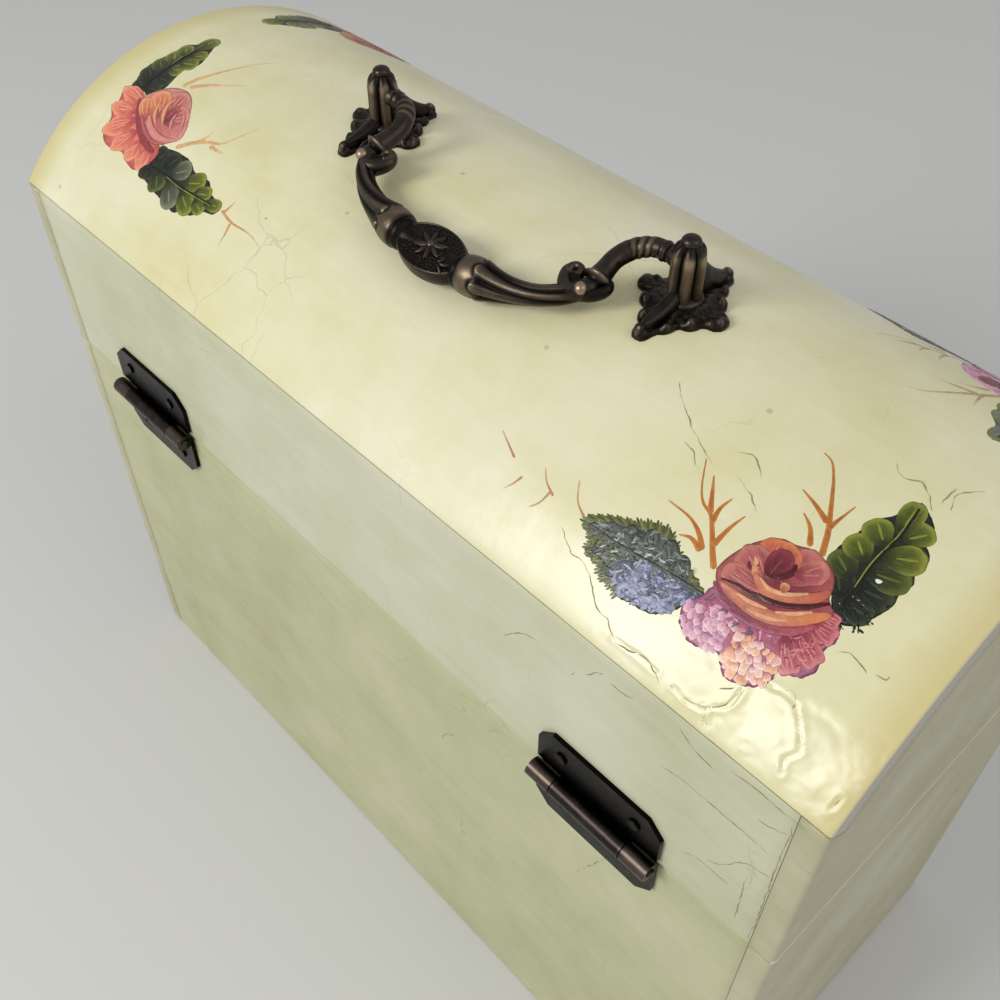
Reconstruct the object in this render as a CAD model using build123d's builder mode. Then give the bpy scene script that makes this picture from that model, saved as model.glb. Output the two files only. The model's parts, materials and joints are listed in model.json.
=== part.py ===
from build123d import *
import math
import os

# A dome-topped keepsake box of lacquered boards, with a bail handle on the lid,
# two butt hinges behind and a swing hook in front.
# X runs along the box, the front faces -Y, the hinges are at +Y, and Z is up from the table.
# Left is -X and right is +X, as seen from the front. Every size is in millimetres.

# Boards
box_length = 270.0
box_depth = 120.0
seam_height = 142.5
seam_gap = 0.3
lid_wall_height = 54.2
dome_rise = 28.0
wall_board = 6.0
end_board = 6.0
floor_board = 5.0
dome_board = 8.0
corner_round = 1.2
seam_bevel = 0.5
foot_bevel = 0.8

# Round-headed nails
nail_radius = 0.7
nail_length = 5.0
nail_head_radius = 1.6
nail_head_height = 0.6
nail_head_round = 0.35
nail_clearance = 0.1

# Butt hinges
hinge_left_inset = 47.0
hinge_right_inset = 47.0
hinge_length = 35.0
hinge_reach = 15.0
leaf_thickness = 1.1
leaf_corner = 4.0
knuckle_radius = 2.4
knuckle_stand_off = 0.3
middle_knuckle = 20.4
knuckle_gap = 0.3
knuckle_relief = 0.3
hinge_pin_radius = 1.1
hinge_pin_overhang = 0.6
hinge_pin_clearance = 0.05
hinge_nail_pitch = 21.0
hinge_nail_height = 9.5

# Handle posts and their leaf-edged plates
post_spacing = 96.0
post_lobes = 8
post_lobe_radius = 1.75
post_lobe_ring = 2.6
post_column_height = 8.4
post_shoulder_height = 4.8
post_shoulder_bulge = 0.6
post_cap_radius = 2.1
post_cap_height = 1.4
post_cap_round = 1.0
post_foot_radius = 5.2
post_foot_height = 0.9
post_face = 4.5
post_collar_radius = 2.7
flare_reach = 11.5
flare_height = 7.0
flare_width = 4.4
flare_edge = 0.7
plate_thickness = 2.0
plate_length = 32.0
plate_width = 23.0
plate_side_notch = (5.4, 5.4)
plate_lobe = (6.4, 8.8)
plate_tip_notch = (2.3, 9.8)
plate_point_round = 0.4

# Machine screws that hold the posts from inside the lid
screw_radius = 2.0
screw_hole_clearance = 0.25
screw_grip = 4.6
screw_head_radius = 3.5
screw_head_height = 2.4
screw_head_round = 0.8
screw_slot_width = 0.9
screw_slot_depth = 1.0
washer_radius = 6.0
washer_thickness = 1.0
spot_face_depth = 0.5
spot_face_clearance = 1.0

# Bail
bail_pivot_rise = 10.0
bail_reach = 28.0
bail_side_gap = 0.4
bail_rest_gap = 0.4
bail_pin_radius = 1.6
bail_pin_clearance = 0.06
bail_pin_length = 5.0
bail_pin_end_gap = 0.5
bulb_radius = 4.75
bulb_place = 13.2
bulb_set_back = 0.5
medallion_length = 19.0
medallion_width = 12.0
medallion_thickness = 5.0
medallion_round = 1.0
daisy_petals = 8
daisy_ring = 2.3
petal_radius = 0.95
petal_height = 0.6
# Stations of the grip: place along the box, set back from the bail's reach, half thickness
grip_neck = (8.5, 0.0, 2.3)
bulb_inner = (10.6, 0.1, 3.9)
bulb_outer = (16.4, 1.0, 3.9)
# Stations of the bar: in from the bail's end, set back from its reach, half thickness
bar_inner = (18.0, 2.7, 2.9)
bar_outer = (12.6, 5.2, 2.4)
scroll_back = (9.0, 8.7, 2.4)
elbow = (7.7, 12.6, 2.5)
# Stations of the arm: in from the bail's end, out from the pivot, half thickness
lower_arm = (8.4, 10.2, 2.6)
upper_arm = (8.0, 5.2, 2.6)
arm_bend = (5.2, 1.4, 2.4)
arm_shoulder = (2.2, 0.0, 2.2)
arm_end = (0.0, 0.0, 2.1)
# The scroll and the curl beside it: in from the bail's end and set back from its reach
scroll_inset = 12.3
scroll_set_back = 13.2
scroll_radius = 2.3
scroll_width = 4.6
curl_inset = 4.9
curl_set_back = 16.0
curl_radius = 1.8

# Swing hook, its knob and their plates
latch_plate_width = 17.0
latch_plate_height = 15.0
latch_plate_thickness = 1.0
latch_plate_corner = 3.0
latch_pivot_drop = 10.0
latch_knob_rise = 10.0
latch_nail_pitch = 11.6
latch_boss_radius = 3.2
latch_boss_height = 1.0
rivet_radius = 1.5
rivet_depth = 4.0
rivet_head_radius = 2.8
rivet_head_height = 1.3
rivet_head_round = 0.9
rivet_clearance = 0.08
hook_thickness = 1.4
hook_side_gap = 0.3
hook_eye_radius = 4.0
hook_arm_width = 4.6
hook_head_radius = 5.2
hook_tab_radius = 2.4
hook_mouth_angle = 28.0
knob_neck_radius = 1.4
knob_neck_clearance = 0.3
knob_head_radius = 3.0
knob_head_height = 2.2
knob_head_round = 1.5

# Worked out from the sizes above
half_length = box_length / 2
half_depth = box_depth / 2
inner_length = box_length - 2 * end_board
inner_depth = box_depth - 2 * wall_board
lid_bottom = seam_height + seam_gap
crease_height = lid_bottom + lid_wall_height
crest_height = crease_height + dome_rise
dome_radius = (half_depth**2 + dome_rise**2) / (2 * dome_rise)
dome_centre = crest_height - dome_radius
dome_half_angle = math.degrees(math.acos((crease_height - dome_centre) / dome_radius))
under_radius = dome_radius - dome_board
under_crest = dome_centre + under_radius
crease_slope = (crease_height - dome_centre) / half_depth
hinge_axis_y = half_depth + knuckle_stand_off + knuckle_radius
hinge_axis_z = seam_height + seam_gap / 2
hinge_places = {"left": hinge_left_inset - half_length, "right": half_length - hinge_right_inset}
post_places = {"left": -post_spacing / 2, "right": post_spacing / 2}
post_bottom = crest_height + plate_thickness
bail_pivot_z = crest_height + bail_pivot_rise
screw_top = post_bottom + screw_grip
spot_face_z = under_crest + spot_face_depth
latch_pivot_z = seam_height - latch_pivot_drop
latch_knob_z = lid_bottom + latch_knob_rise
hook_reach = latch_knob_z - latch_pivot_z
hook_back = half_depth + latch_plate_thickness + latch_boss_height + hook_side_gap
hook_front = hook_back + hook_thickness

os.makedirs("parts", exist_ok=True)


def keep(piece, name):
    """Label a finished piece and write it to its own file."""
    piece.part.label = name
    export_step(piece.part, f"parts/{name}.step")


def behind(distance):
    """Upright plane facing the front, this far behind the middle of the box."""
    return Plane.XZ.offset(-distance)


def in_front(distance):
    """Upright plane facing the front, this far in front of the middle of the box."""
    return Plane.XZ.offset(distance)


def rim(piece, level):
    """Edges of a board at one height that lie on the outside of the box."""
    found = []
    for edge in piece.edges().filter_by_position(Axis.Z, level - seam_gap / 3, level + seam_gap / 3):
        spot = edge.center()
        if abs(spot.Y) > half_depth - corner_round or abs(spot.X) > half_length - corner_round:
            found.append(edge)
    return found


def nail_group(spots, surface, side):
    """Nails driven through a fitting on the front (side -1) or the rear (side 1) of the box."""
    depth_plane = behind(side * (half_depth - nail_length))
    head_plane = behind(side * surface)
    with BuildPart() as nails:
        with BuildSketch(depth_plane):
            with Locations(*spots):
                Circle(nail_radius)
        extrude(amount=-side * (surface - half_depth + nail_length))
        with BuildSketch(head_plane):
            with Locations(*spots):
                Circle(nail_head_radius)
        extrude(amount=-side * nail_head_height)
        if side > 0:
            crowns = nails.edges().group_by(Axis.Y)[-1]
        else:
            crowns = nails.edges().group_by(Axis.Y)[0]
        fillet(crowns, nail_head_round)
    return nails


# Where the nails go, as places along the box and heights
lower_hinge_nails = []
upper_hinge_nails = []
for hinge_x in hinge_places.values():
    for along in (-hinge_nail_pitch / 2, hinge_nail_pitch / 2):
        lower_hinge_nails.append((hinge_x + along, hinge_axis_z - hinge_nail_height))
        upper_hinge_nails.append((hinge_x + along, hinge_axis_z + hinge_nail_height))
lower_latch_nails = [(along, latch_pivot_z) for along in (-latch_nail_pitch / 2, latch_nail_pitch / 2)]
upper_latch_nails = [(along, latch_knob_z) for along in (-latch_nail_pitch / 2, latch_nail_pitch / 2)]

# Lower box: the front and rear boards stand between the end boards
with BuildPart() as box_rear:
    with BuildSketch(behind(half_depth)):
        with Locations((0, seam_height / 2)):
            Rectangle(inner_length, seam_height)
    extrude(amount=wall_board)
    chamfer(rim(box_rear, seam_height), seam_bevel)
    chamfer(rim(box_rear, 0), foot_bevel)
    with BuildSketch(behind(half_depth - nail_length)):
        with Locations(*lower_hinge_nails):
            Circle(nail_radius)
    extrude(amount=-nail_length, mode=Mode.SUBTRACT)
keep(box_rear, "box_rear")

with BuildPart() as box_front:
    with BuildSketch(in_front(half_depth)):
        with Locations((0, seam_height / 2)):
            Rectangle(inner_length, seam_height)
    extrude(amount=-wall_board)
    chamfer(rim(box_front, seam_height), seam_bevel)
    chamfer(rim(box_front, 0), foot_bevel)
    with BuildSketch(in_front(half_depth - nail_length)):
        with Locations(*lower_latch_nails):
            Circle(nail_radius)
    extrude(amount=nail_length, mode=Mode.SUBTRACT)
    with BuildSketch(in_front(half_depth - rivet_depth)):
        with Locations((0, latch_pivot_z)):
            Circle(rivet_radius)
    extrude(amount=rivet_depth, mode=Mode.SUBTRACT)
keep(box_front, "box_front")

for name, side in (("left", -1), ("right", 1)):
    with BuildPart() as box_end:
        with BuildSketch(Plane.YZ.offset(side * half_length)):
            with Locations((0, seam_height / 2)):
                Rectangle(box_depth, seam_height)
        extrude(amount=-side * end_board)
        uprights = box_end.edges().filter_by(Axis.Z).sort_by(Axis.X)
        fillet(uprights[-2:] if side > 0 else uprights[:2], corner_round)
        chamfer(rim(box_end, seam_height), seam_bevel)
        chamfer(rim(box_end, 0), foot_bevel)
    keep(box_end, f"box_{name}_end")

with BuildPart() as box_floor:
    with BuildSketch(Plane.XY):
        Rectangle(inner_length, inner_depth)
    extrude(amount=floor_board)
keep(box_floor, "box_floor")

# Lid: the rails' tops are bevelled along the dome's radius, so the top board's edges lie on them
for name, side in (("front", -1), ("rear", 1)):
    rail_inside = half_depth - wall_board
    rail_inner_top = dome_centre + rail_inside * crease_slope
    with BuildPart() as lid_rail:
        with BuildSketch(Plane.YZ.offset(-inner_length / 2)):
            with BuildLine():
                Polyline(
                    (side * rail_inside, lid_bottom),
                    (side * half_depth, lid_bottom),
                    (side * half_depth, crease_height),
                    (side * rail_inside, rail_inner_top),
                    close=True,
                )
            make_face()
        extrude(amount=inner_length)
        chamfer(rim(lid_rail, lid_bottom), seam_bevel)
        if side > 0:
            with BuildSketch(behind(half_depth - nail_length)):
                with Locations(*upper_hinge_nails):
                    Circle(nail_radius)
            extrude(amount=-nail_length, mode=Mode.SUBTRACT)
        else:
            with BuildSketch(in_front(half_depth - nail_length)):
                with Locations(*upper_latch_nails):
                    Circle(nail_radius)
            extrude(amount=nail_length, mode=Mode.SUBTRACT)
            with BuildSketch(in_front(half_depth - rivet_depth)):
                with Locations((0, latch_knob_z)):
                    Circle(knob_neck_radius)
            extrude(amount=rivet_depth, mode=Mode.SUBTRACT)
    keep(lid_rail, f"lid_{name}_rail")

shoulder_y = under_radius * math.sin(math.radians(dome_half_angle))
shoulder_z = dome_centre + under_radius * math.cos(math.radians(dome_half_angle))
for name, side in (("left", -1), ("right", 1)):
    with BuildPart() as lid_end:
        with BuildSketch(Plane.YZ.offset(side * half_length)):
            with BuildLine():
                Polyline(
                    (shoulder_y, shoulder_z),
                    (half_depth, crease_height),
                    (half_depth, lid_bottom),
                    (-half_depth, lid_bottom),
                    (-half_depth, crease_height),
                    (-shoulder_y, shoulder_z),
                )
                CenterArc((0, dome_centre), under_radius, 90 - dome_half_angle, 2 * dome_half_angle)
            make_face()
        extrude(amount=-side * end_board)
        uprights = lid_end.edges().filter_by(Axis.Z).sort_by(Axis.X)
        fillet(uprights[-2:] if side > 0 else uprights[:2], corner_round)
        chamfer(rim(lid_end, lid_bottom), seam_bevel)
    keep(lid_end, f"lid_{name}_end")

with BuildPart() as lid_dome:
    with BuildSketch(Plane.YZ.offset(-half_length)):
        with BuildLine():
            top_arc = CenterArc((0, dome_centre), dome_radius, 90 - dome_half_angle, 2 * dome_half_angle)
            under_arc = CenterArc((0, dome_centre), under_radius, 90 - dome_half_angle, 2 * dome_half_angle)
            Line(top_arc @ 0, under_arc @ 0)
            Line(top_arc @ 1, under_arc @ 1)
        make_face()
    extrude(amount=box_length)
    end_arcs = lid_dome.edges().filter_by(GeomType.CIRCLE).filter_by(
        lambda edge: edge.radius > dome_radius - dome_board / 2
    )
    fillet(end_arcs, corner_round)
    # A screw hole under each post, with a flat seat for its washer inside the lid
    with BuildSketch(Plane.XY.offset(dome_centre)):
        with Locations(*[(x, 0) for x in post_places.values()]):
            Circle(screw_radius + screw_hole_clearance)
    extrude(amount=dome_radius + plate_thickness, mode=Mode.SUBTRACT)
    with BuildSketch(Plane.XY.offset(spot_face_z)):
        with Locations(*[(x, 0) for x in post_places.values()]):
            Circle(washer_radius + spot_face_clearance)
    extrude(amount=-dome_board, mode=Mode.SUBTRACT)
keep(lid_dome, "lid_dome")

# Butt hinges: the upper leaf carries the middle knuckle, the lower leaf the two end knuckles
end_knuckle = (hinge_length - middle_knuckle) / 2 - knuckle_gap
notch_half = middle_knuckle / 2 + knuckle_gap
notch_height = knuckle_radius + knuckle_relief


def hinge_circle(start_x, radius):
    """Circle about the hinge's axis, at one place along the box."""
    with BuildSketch(Plane.YZ.offset(start_x)) as section:
        with Locations((hinge_axis_y, hinge_axis_z)):
            Circle(radius)
    return section.sketch


def leaf_nail_holes(hinge_x, height):
    """The two nail holes of one leaf."""
    with BuildSketch(behind(half_depth)) as holes:
        with Locations((hinge_x - hinge_nail_pitch / 2, height), (hinge_x + hinge_nail_pitch / 2, height)):
            Circle(nail_radius + nail_clearance)
    return holes.sketch


for name, hinge_x in hinge_places.items():
    leaf_half = hinge_length / 2
    with BuildPart() as upper_leaf:
        with BuildSketch(behind(half_depth)):
            with BuildLine():
                Polyline(
                    (hinge_x - middle_knuckle / 2, hinge_axis_z),
                    (hinge_x + middle_knuckle / 2, hinge_axis_z),
                    (hinge_x + middle_knuckle / 2, hinge_axis_z + notch_height),
                    (hinge_x + leaf_half, hinge_axis_z + notch_height),
                    (hinge_x + leaf_half, hinge_axis_z + hinge_reach - leaf_corner),
                    (hinge_x + leaf_half - leaf_corner, hinge_axis_z + hinge_reach),
                    (hinge_x - leaf_half + leaf_corner, hinge_axis_z + hinge_reach),
                    (hinge_x - leaf_half, hinge_axis_z + hinge_reach - leaf_corner),
                    (hinge_x - leaf_half, hinge_axis_z + notch_height),
                    (hinge_x - middle_knuckle / 2, hinge_axis_z + notch_height),
                    close=True,
                )
            make_face()
        extrude(amount=-leaf_thickness)
        extrude(hinge_circle(hinge_x - middle_knuckle / 2, knuckle_radius), amount=middle_knuckle)
        tight_bore = hinge_circle(hinge_x - leaf_half, hinge_pin_radius)
        extrude(tight_bore, amount=hinge_length, mode=Mode.SUBTRACT)
        extrude(
            leaf_nail_holes(hinge_x, hinge_axis_z + hinge_nail_height),
            amount=-leaf_thickness,
            mode=Mode.SUBTRACT,
        )
    keep(upper_leaf, f"hinge_{name}_upper_leaf")

    with BuildPart() as lower_leaf:
        with BuildSketch(behind(half_depth)):
            with BuildLine():
                Polyline(
                    (hinge_x - leaf_half, hinge_axis_z),
                    (hinge_x - notch_half, hinge_axis_z),
                    (hinge_x - notch_half, hinge_axis_z - notch_height),
                    (hinge_x + notch_half, hinge_axis_z - notch_height),
                    (hinge_x + notch_half, hinge_axis_z),
                    (hinge_x + leaf_half, hinge_axis_z),
                    (hinge_x + leaf_half, hinge_axis_z - hinge_reach + leaf_corner),
                    (hinge_x + leaf_half - leaf_corner, hinge_axis_z - hinge_reach),
                    (hinge_x - leaf_half + leaf_corner, hinge_axis_z - hinge_reach),
                    (hinge_x - leaf_half, hinge_axis_z - hinge_reach + leaf_corner),
                    close=True,
                )
            make_face()
        extrude(amount=-leaf_thickness)
        for start_x in (hinge_x - leaf_half, hinge_x + notch_half):
            extrude(hinge_circle(start_x, knuckle_radius), amount=end_knuckle)
        running_bore = hinge_circle(hinge_x - leaf_half, hinge_pin_radius + hinge_pin_clearance)
        extrude(running_bore, amount=hinge_length, mode=Mode.SUBTRACT)
        extrude(
            leaf_nail_holes(hinge_x, hinge_axis_z - hinge_nail_height),
            amount=-leaf_thickness,
            mode=Mode.SUBTRACT,
        )
    keep(lower_leaf, f"hinge_{name}_lower_leaf")

    # The pin is tight in the middle knuckle, turns in the end ones and stands out a little at both ends
    with BuildPart() as hinge_pin:
        extrude(
            hinge_circle(hinge_x - leaf_half - hinge_pin_overhang, hinge_pin_radius),
            amount=hinge_length + 2 * hinge_pin_overhang,
        )
        chamfer(hinge_pin.edges(), hinge_pin_overhang / 2)
    keep(hinge_pin, f"hinge_{name}_pin")

keep(nail_group(lower_hinge_nails, half_depth + leaf_thickness, 1), "hinge_nails_lower")
keep(nail_group(upper_hinge_nails, half_depth + leaf_thickness, 1), "hinge_nails_upper")


# Handle plates: a diamond with leaf points, bent to lie on the dome
def leaf_outline(centre_x):
    """Points around the leaf-edged plate, one quarter of them written and the rest mirrored."""
    side_point = (plate_width / 2, 0.0)
    tip_point = (0.0, plate_length / 2)
    quarter = [side_point, plate_side_notch, plate_lobe, plate_tip_notch, tip_point]
    half = quarter + [(-x, y) for x, y in reversed(quarter[:-1])]
    around = half + [(x, -y) for x, y in reversed(half[1:-1])]
    return [(centre_x + x, y) for x, y in around]


def dome_slice(post_x, radius):
    """Circle about the dome's own centre, beside one post, for cutting what lies on the dome."""
    with BuildSketch(Plane.YZ.offset(post_x - plate_width)) as section:
        with Locations((0, dome_centre)):
            Circle(radius)
    return section.sketch


for name, post_x in post_places.items():
    with BuildPart() as handle_plate:
        with BuildSketch(Plane.XY.offset(crease_height)):
            with BuildLine():
                Polyline(*leaf_outline(post_x), close=True)
            make_face()
        extrude(amount=dome_rise + 2 * plate_thickness)
        fillet(handle_plate.edges().filter_by(Axis.Z), plate_point_round)
        plate_top = dome_slice(post_x, dome_radius + plate_thickness)
        extrude(plate_top, amount=2 * plate_width, mode=Mode.INTERSECT)
        extrude(dome_slice(post_x, dome_radius), amount=2 * plate_width, mode=Mode.SUBTRACT)
        with BuildSketch(Plane.XY.offset(dome_centre)):
            with Locations((post_x, 0)):
                Circle(screw_radius + screw_hole_clearance)
        extrude(amount=dome_radius + 2 * plate_thickness, mode=Mode.SUBTRACT)
    keep(handle_plate, f"handle_{name}_plate")

# Handle posts: lobed columns that draw in to a small cap, with flares towards the plate's tips
post_radius = post_lobe_ring + post_lobe_radius
shoulder_bottom = post_bottom + post_column_height
shoulder_top = shoulder_bottom + post_shoulder_height
for name, post_x in post_places.items():
    inward = -1 if post_x > 0 else 1
    with BuildPart() as handle_post:
        with BuildSketch(Plane.XY.offset(crest_height)):
            with Locations((post_x, 0)):
                Circle(post_lobe_ring)
                with PolarLocations(post_lobe_ring, post_lobes):
                    Circle(post_lobe_radius)
        extrude(amount=shoulder_top - crest_height)
        with BuildSketch(Plane.XZ):
            with BuildLine():
                Polyline(
                    (post_x + post_cap_radius, shoulder_top),
                    (post_x, shoulder_top),
                    (post_x, crest_height),
                    (post_x + post_radius, crest_height),
                    (post_x + post_radius, shoulder_bottom),
                )
                ThreePointArc(
                    (post_x + post_radius, shoulder_bottom),
                    (
                        post_x + (post_radius + post_cap_radius) / 2 + post_shoulder_bulge,
                        (shoulder_bottom + shoulder_top) / 2 + post_shoulder_bulge / 2,
                    ),
                    (post_x + post_cap_radius, shoulder_top),
                )
            make_face()
        revolve(axis=Axis((post_x, 0, 0), (0, 0, 1)), mode=Mode.INTERSECT)
        with BuildSketch(Plane.XY.offset(crest_height)):
            with Locations((post_x, 0)):
                Circle(post_foot_radius)
        extrude(amount=plate_thickness + post_foot_height)
        with BuildSketch(Plane.YZ.offset(post_x - flare_width / 2)):
            with BuildLine():
                flare_top = post_bottom + flare_height
                flare_low = post_bottom + flare_edge
                Polyline(
                    (0, flare_top),
                    (0, crest_height),
                    (flare_reach, crest_height),
                    (flare_reach, flare_low),
                )
                ThreePointArc(
                    (flare_reach, flare_low),
                    (post_lobe_ring + flare_reach / 4, flare_low + flare_height / 5),
                    (post_lobe_ring, flare_top),
                )
                Line((post_lobe_ring, flare_top), (0, flare_top))
            make_face()
            mirror(about=Plane.YZ)
        extrude(amount=flare_width)
        plate_crown = dome_slice(post_x, dome_radius + plate_thickness)
        extrude(plate_crown, amount=2 * plate_width, mode=Mode.SUBTRACT)
        with BuildSketch(Plane.XY.offset(shoulder_top)):
            with Locations((post_x, 0)):
                Circle(post_cap_radius)
        extrude(amount=post_cap_height)
        fillet(handle_post.edges().group_by(Axis.Z)[-1], post_cap_round)
        # A round collar faces the other post, with a blind hole for the bail's end pin
        with BuildSketch(Plane.YZ.offset(post_x)):
            with Locations((0, bail_pivot_z)):
                Circle(post_collar_radius)
        extrude(amount=inward * post_face)
        with BuildSketch(Plane.YZ.offset(post_x + inward * post_face)):
            with Locations((0, bail_pivot_z)):
                Circle(bail_pin_radius + bail_pin_clearance)
        extrude(amount=-inward * (bail_pin_length + bail_pin_end_gap - bail_side_gap), mode=Mode.SUBTRACT)
        with BuildSketch(Plane.XY.offset(crest_height)):
            with Locations((post_x, 0)):
                Circle(screw_radius)
        extrude(amount=plate_thickness + screw_grip, mode=Mode.SUBTRACT)
    keep(handle_post, f"handle_{name}_post")

screw_spots = [(x, 0) for x in post_places.values()]
with BuildPart() as handle_washers:
    with BuildSketch(Plane.XY.offset(spot_face_z)):
        with Locations(*screw_spots):
            Circle(washer_radius)
            Circle(screw_radius + screw_hole_clearance, mode=Mode.SUBTRACT)
    extrude(amount=-washer_thickness)
keep(handle_washers, "handle_washers")

screw_head_top = spot_face_z - washer_thickness
with BuildPart() as handle_screws:
    with BuildSketch(Plane.XY.offset(screw_head_top)):
        with Locations(*screw_spots):
            Circle(screw_radius)
    extrude(amount=screw_top - screw_head_top)
    with BuildSketch(Plane.XY.offset(screw_head_top)):
        with Locations(*screw_spots):
            Circle(screw_head_radius)
    extrude(amount=-screw_head_height)
    fillet(handle_screws.edges().group_by(Axis.Z)[0], screw_head_round)
    with BuildSketch(Plane.XY.offset(screw_head_top - screw_head_height)):
        with Locations(*screw_spots):
            Rectangle(2 * screw_head_radius, screw_slot_width)
    extrude(amount=screw_slot_depth, mode=Mode.SUBTRACT)
keep(handle_screws, "handle_screws")

# Bail: it hangs from the posts and lies on the dome's rear slope, a hair above it.
# Its tilt below the horizontal follows from the reach of its bulbs and the height of its pivot.
pivot_above_centre = bail_pivot_z - dome_centre
bulb_reach = bail_reach - bulb_set_back
lie_radius = dome_radius + bail_rest_gap
bulb_swing = math.hypot(bulb_reach, bulb_radius)
lie_drop = (bulb_swing**2 + pivot_above_centre**2 - lie_radius**2) / (2 * pivot_above_centre)
bail_tilt = math.atan2(bulb_reach, bulb_radius) - math.acos(lie_drop / bulb_swing)
bail_frame = Plane(
    origin=(0, 0, bail_pivot_z),
    x_dir=(1, 0, 0),
    z_dir=(0, math.sin(bail_tilt), math.cos(bail_tilt)),
)
bail_half_span = post_spacing / 2 - post_face - bail_side_gap
print("bail tilt in degrees", round(math.degrees(bail_tilt), 3))

# Along one half of the bail: place along the box, reach from the pivot and half thickness
bulb_middle = (bulb_place, bulb_set_back, bulb_radius)
bail_stations = []
for place, set_back, half_thickness in (grip_neck, bulb_inner, bulb_middle, bulb_outer):
    bail_stations.append((place, bail_reach - set_back, half_thickness))
for inset, set_back, half_thickness in (bar_inner, bar_outer, scroll_back, elbow):
    bail_stations.append((bail_half_span - inset, bail_reach - set_back, half_thickness))
for inset, reach, half_thickness in (lower_arm, upper_arm, arm_bend, arm_shoulder, arm_end):
    bail_stations.append((bail_half_span - inset, reach, half_thickness))


def across(index):
    """Plane square to the bail's centreline at one station."""
    here = bail_stations[index]
    before = bail_stations[max(index - 1, 0)]
    after = bail_stations[min(index + 1, len(bail_stations) - 1)]
    heading = bail_frame.x_dir * (after[0] - before[0]) + bail_frame.y_dir * (after[1] - before[1])
    if index in (0, len(bail_stations) - 2, len(bail_stations) - 1):
        heading = bail_frame.x_dir
    return Plane(
        origin=bail_frame.from_local_coords((here[0], here[1], 0)),
        x_dir=bail_frame.z_dir,
        z_dir=heading,
    )


scroll_place = (bail_half_span - scroll_inset, bail_reach - scroll_set_back)
curl_place = (bail_half_span - curl_inset, bail_reach - curl_set_back)

with BuildPart() as medallion:
    with BuildSketch(bail_frame.offset(-medallion_thickness / 2)):
        with Locations((0, bail_reach)):
            Ellipse(medallion_length / 2, medallion_width / 2)
    extrude(amount=medallion_thickness)
    fillet(medallion.edges().filter_by(GeomType.ELLIPSE), medallion_round)
    with BuildSketch(bail_frame.offset(medallion_thickness / 2)):
        with Locations((0, bail_reach)):
            Circle(petal_radius)
            with PolarLocations(daisy_ring, daisy_petals):
                Circle(petal_radius)
    extrude(amount=petal_height)

with BuildPart() as handle_bail:
    for index, station in enumerate(bail_stations):
        with BuildSketch(across(index)):
            Circle(station[2])
    loft()
    with BuildSketch(Plane.YZ.offset(bail_half_span)):
        with Locations((0, bail_pivot_z)):
            Circle(bail_pin_radius)
    extrude(amount=bail_pin_length)
    # The scroll curls in towards the hand, and a small leaf tip stands out opposite it
    with BuildSketch(bail_frame.offset(-scroll_width / 2)):
        with Locations(scroll_place):
            Circle(scroll_radius)
    extrude(amount=scroll_width)
    with Locations(bail_frame.from_local_coords((curl_place[0], curl_place[1], 0))):
        Sphere(curl_radius)
    mirror(about=Plane.YZ)
    add(medallion.part)
keep(handle_bail, "handle_bail")


# Swing hook: the lower plate carries its pivot, the upper plate the knob that it closes on
def latch_plate(height):
    """Plate with clipped corners on the front of the box, centred at one height."""
    with BuildPart() as plate:
        with BuildSketch(in_front(half_depth)) as outline:
            with Locations((0, height)):
                Rectangle(latch_plate_width, latch_plate_height)
            chamfer(outline.vertices(), latch_plate_corner)
            with Locations((-latch_nail_pitch / 2, height), (latch_nail_pitch / 2, height)):
                Circle(nail_radius + nail_clearance, mode=Mode.SUBTRACT)
        extrude(amount=latch_plate_thickness)
    return plate


plate_front = half_depth + latch_plate_thickness
lower_blank = latch_plate(latch_pivot_z)
with BuildPart() as latch_lower_plate:
    add(lower_blank.part)
    with BuildSketch(in_front(plate_front)):
        with Locations((0, latch_pivot_z)):
            Circle(latch_boss_radius)
    extrude(amount=latch_boss_height)
    with BuildSketch(in_front(half_depth)):
        with Locations((0, latch_pivot_z)):
            Circle(rivet_radius)
    extrude(amount=latch_plate_thickness + latch_boss_height, mode=Mode.SUBTRACT)
keep(latch_lower_plate, "latch_lower_plate")

upper_blank = latch_plate(latch_knob_z)
with BuildPart() as latch_upper_plate:
    add(upper_blank.part)
    with BuildSketch(in_front(half_depth)):
        with Locations((0, latch_knob_z)):
            Circle(knob_neck_radius)
    extrude(amount=latch_plate_thickness, mode=Mode.SUBTRACT)
keep(latch_upper_plate, "latch_upper_plate")

keep(nail_group(lower_latch_nails, plate_front, -1), "latch_nails_lower")
keep(nail_group(upper_latch_nails, plate_front, -1), "latch_nails_upper")

with BuildPart() as latch_rivet:
    with BuildSketch(in_front(half_depth - rivet_depth)):
        with Locations((0, latch_pivot_z)):
            Circle(rivet_radius)
    extrude(amount=hook_front + hook_side_gap - half_depth + rivet_depth)
    with BuildSketch(in_front(hook_front + hook_side_gap)):
        with Locations((0, latch_pivot_z)):
            Circle(rivet_head_radius)
    extrude(amount=rivet_head_height)
    fillet(latch_rivet.edges().group_by(Axis.Y)[0], rivet_head_round)
keep(latch_rivet, "latch_rivet")

with BuildPart() as latch_knob:
    with BuildSketch(in_front(half_depth - rivet_depth)):
        with Locations((0, latch_knob_z)):
            Circle(knob_neck_radius)
    extrude(amount=hook_front + hook_side_gap - half_depth + rivet_depth)
    with BuildSketch(in_front(hook_front + hook_side_gap)):
        with Locations((0, latch_knob_z)):
            Circle(knob_head_radius)
    extrude(amount=knob_head_height)
    fillet(latch_knob.edges().group_by(Axis.Y)[0], knob_head_round)
keep(latch_knob, "latch_knob")

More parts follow.
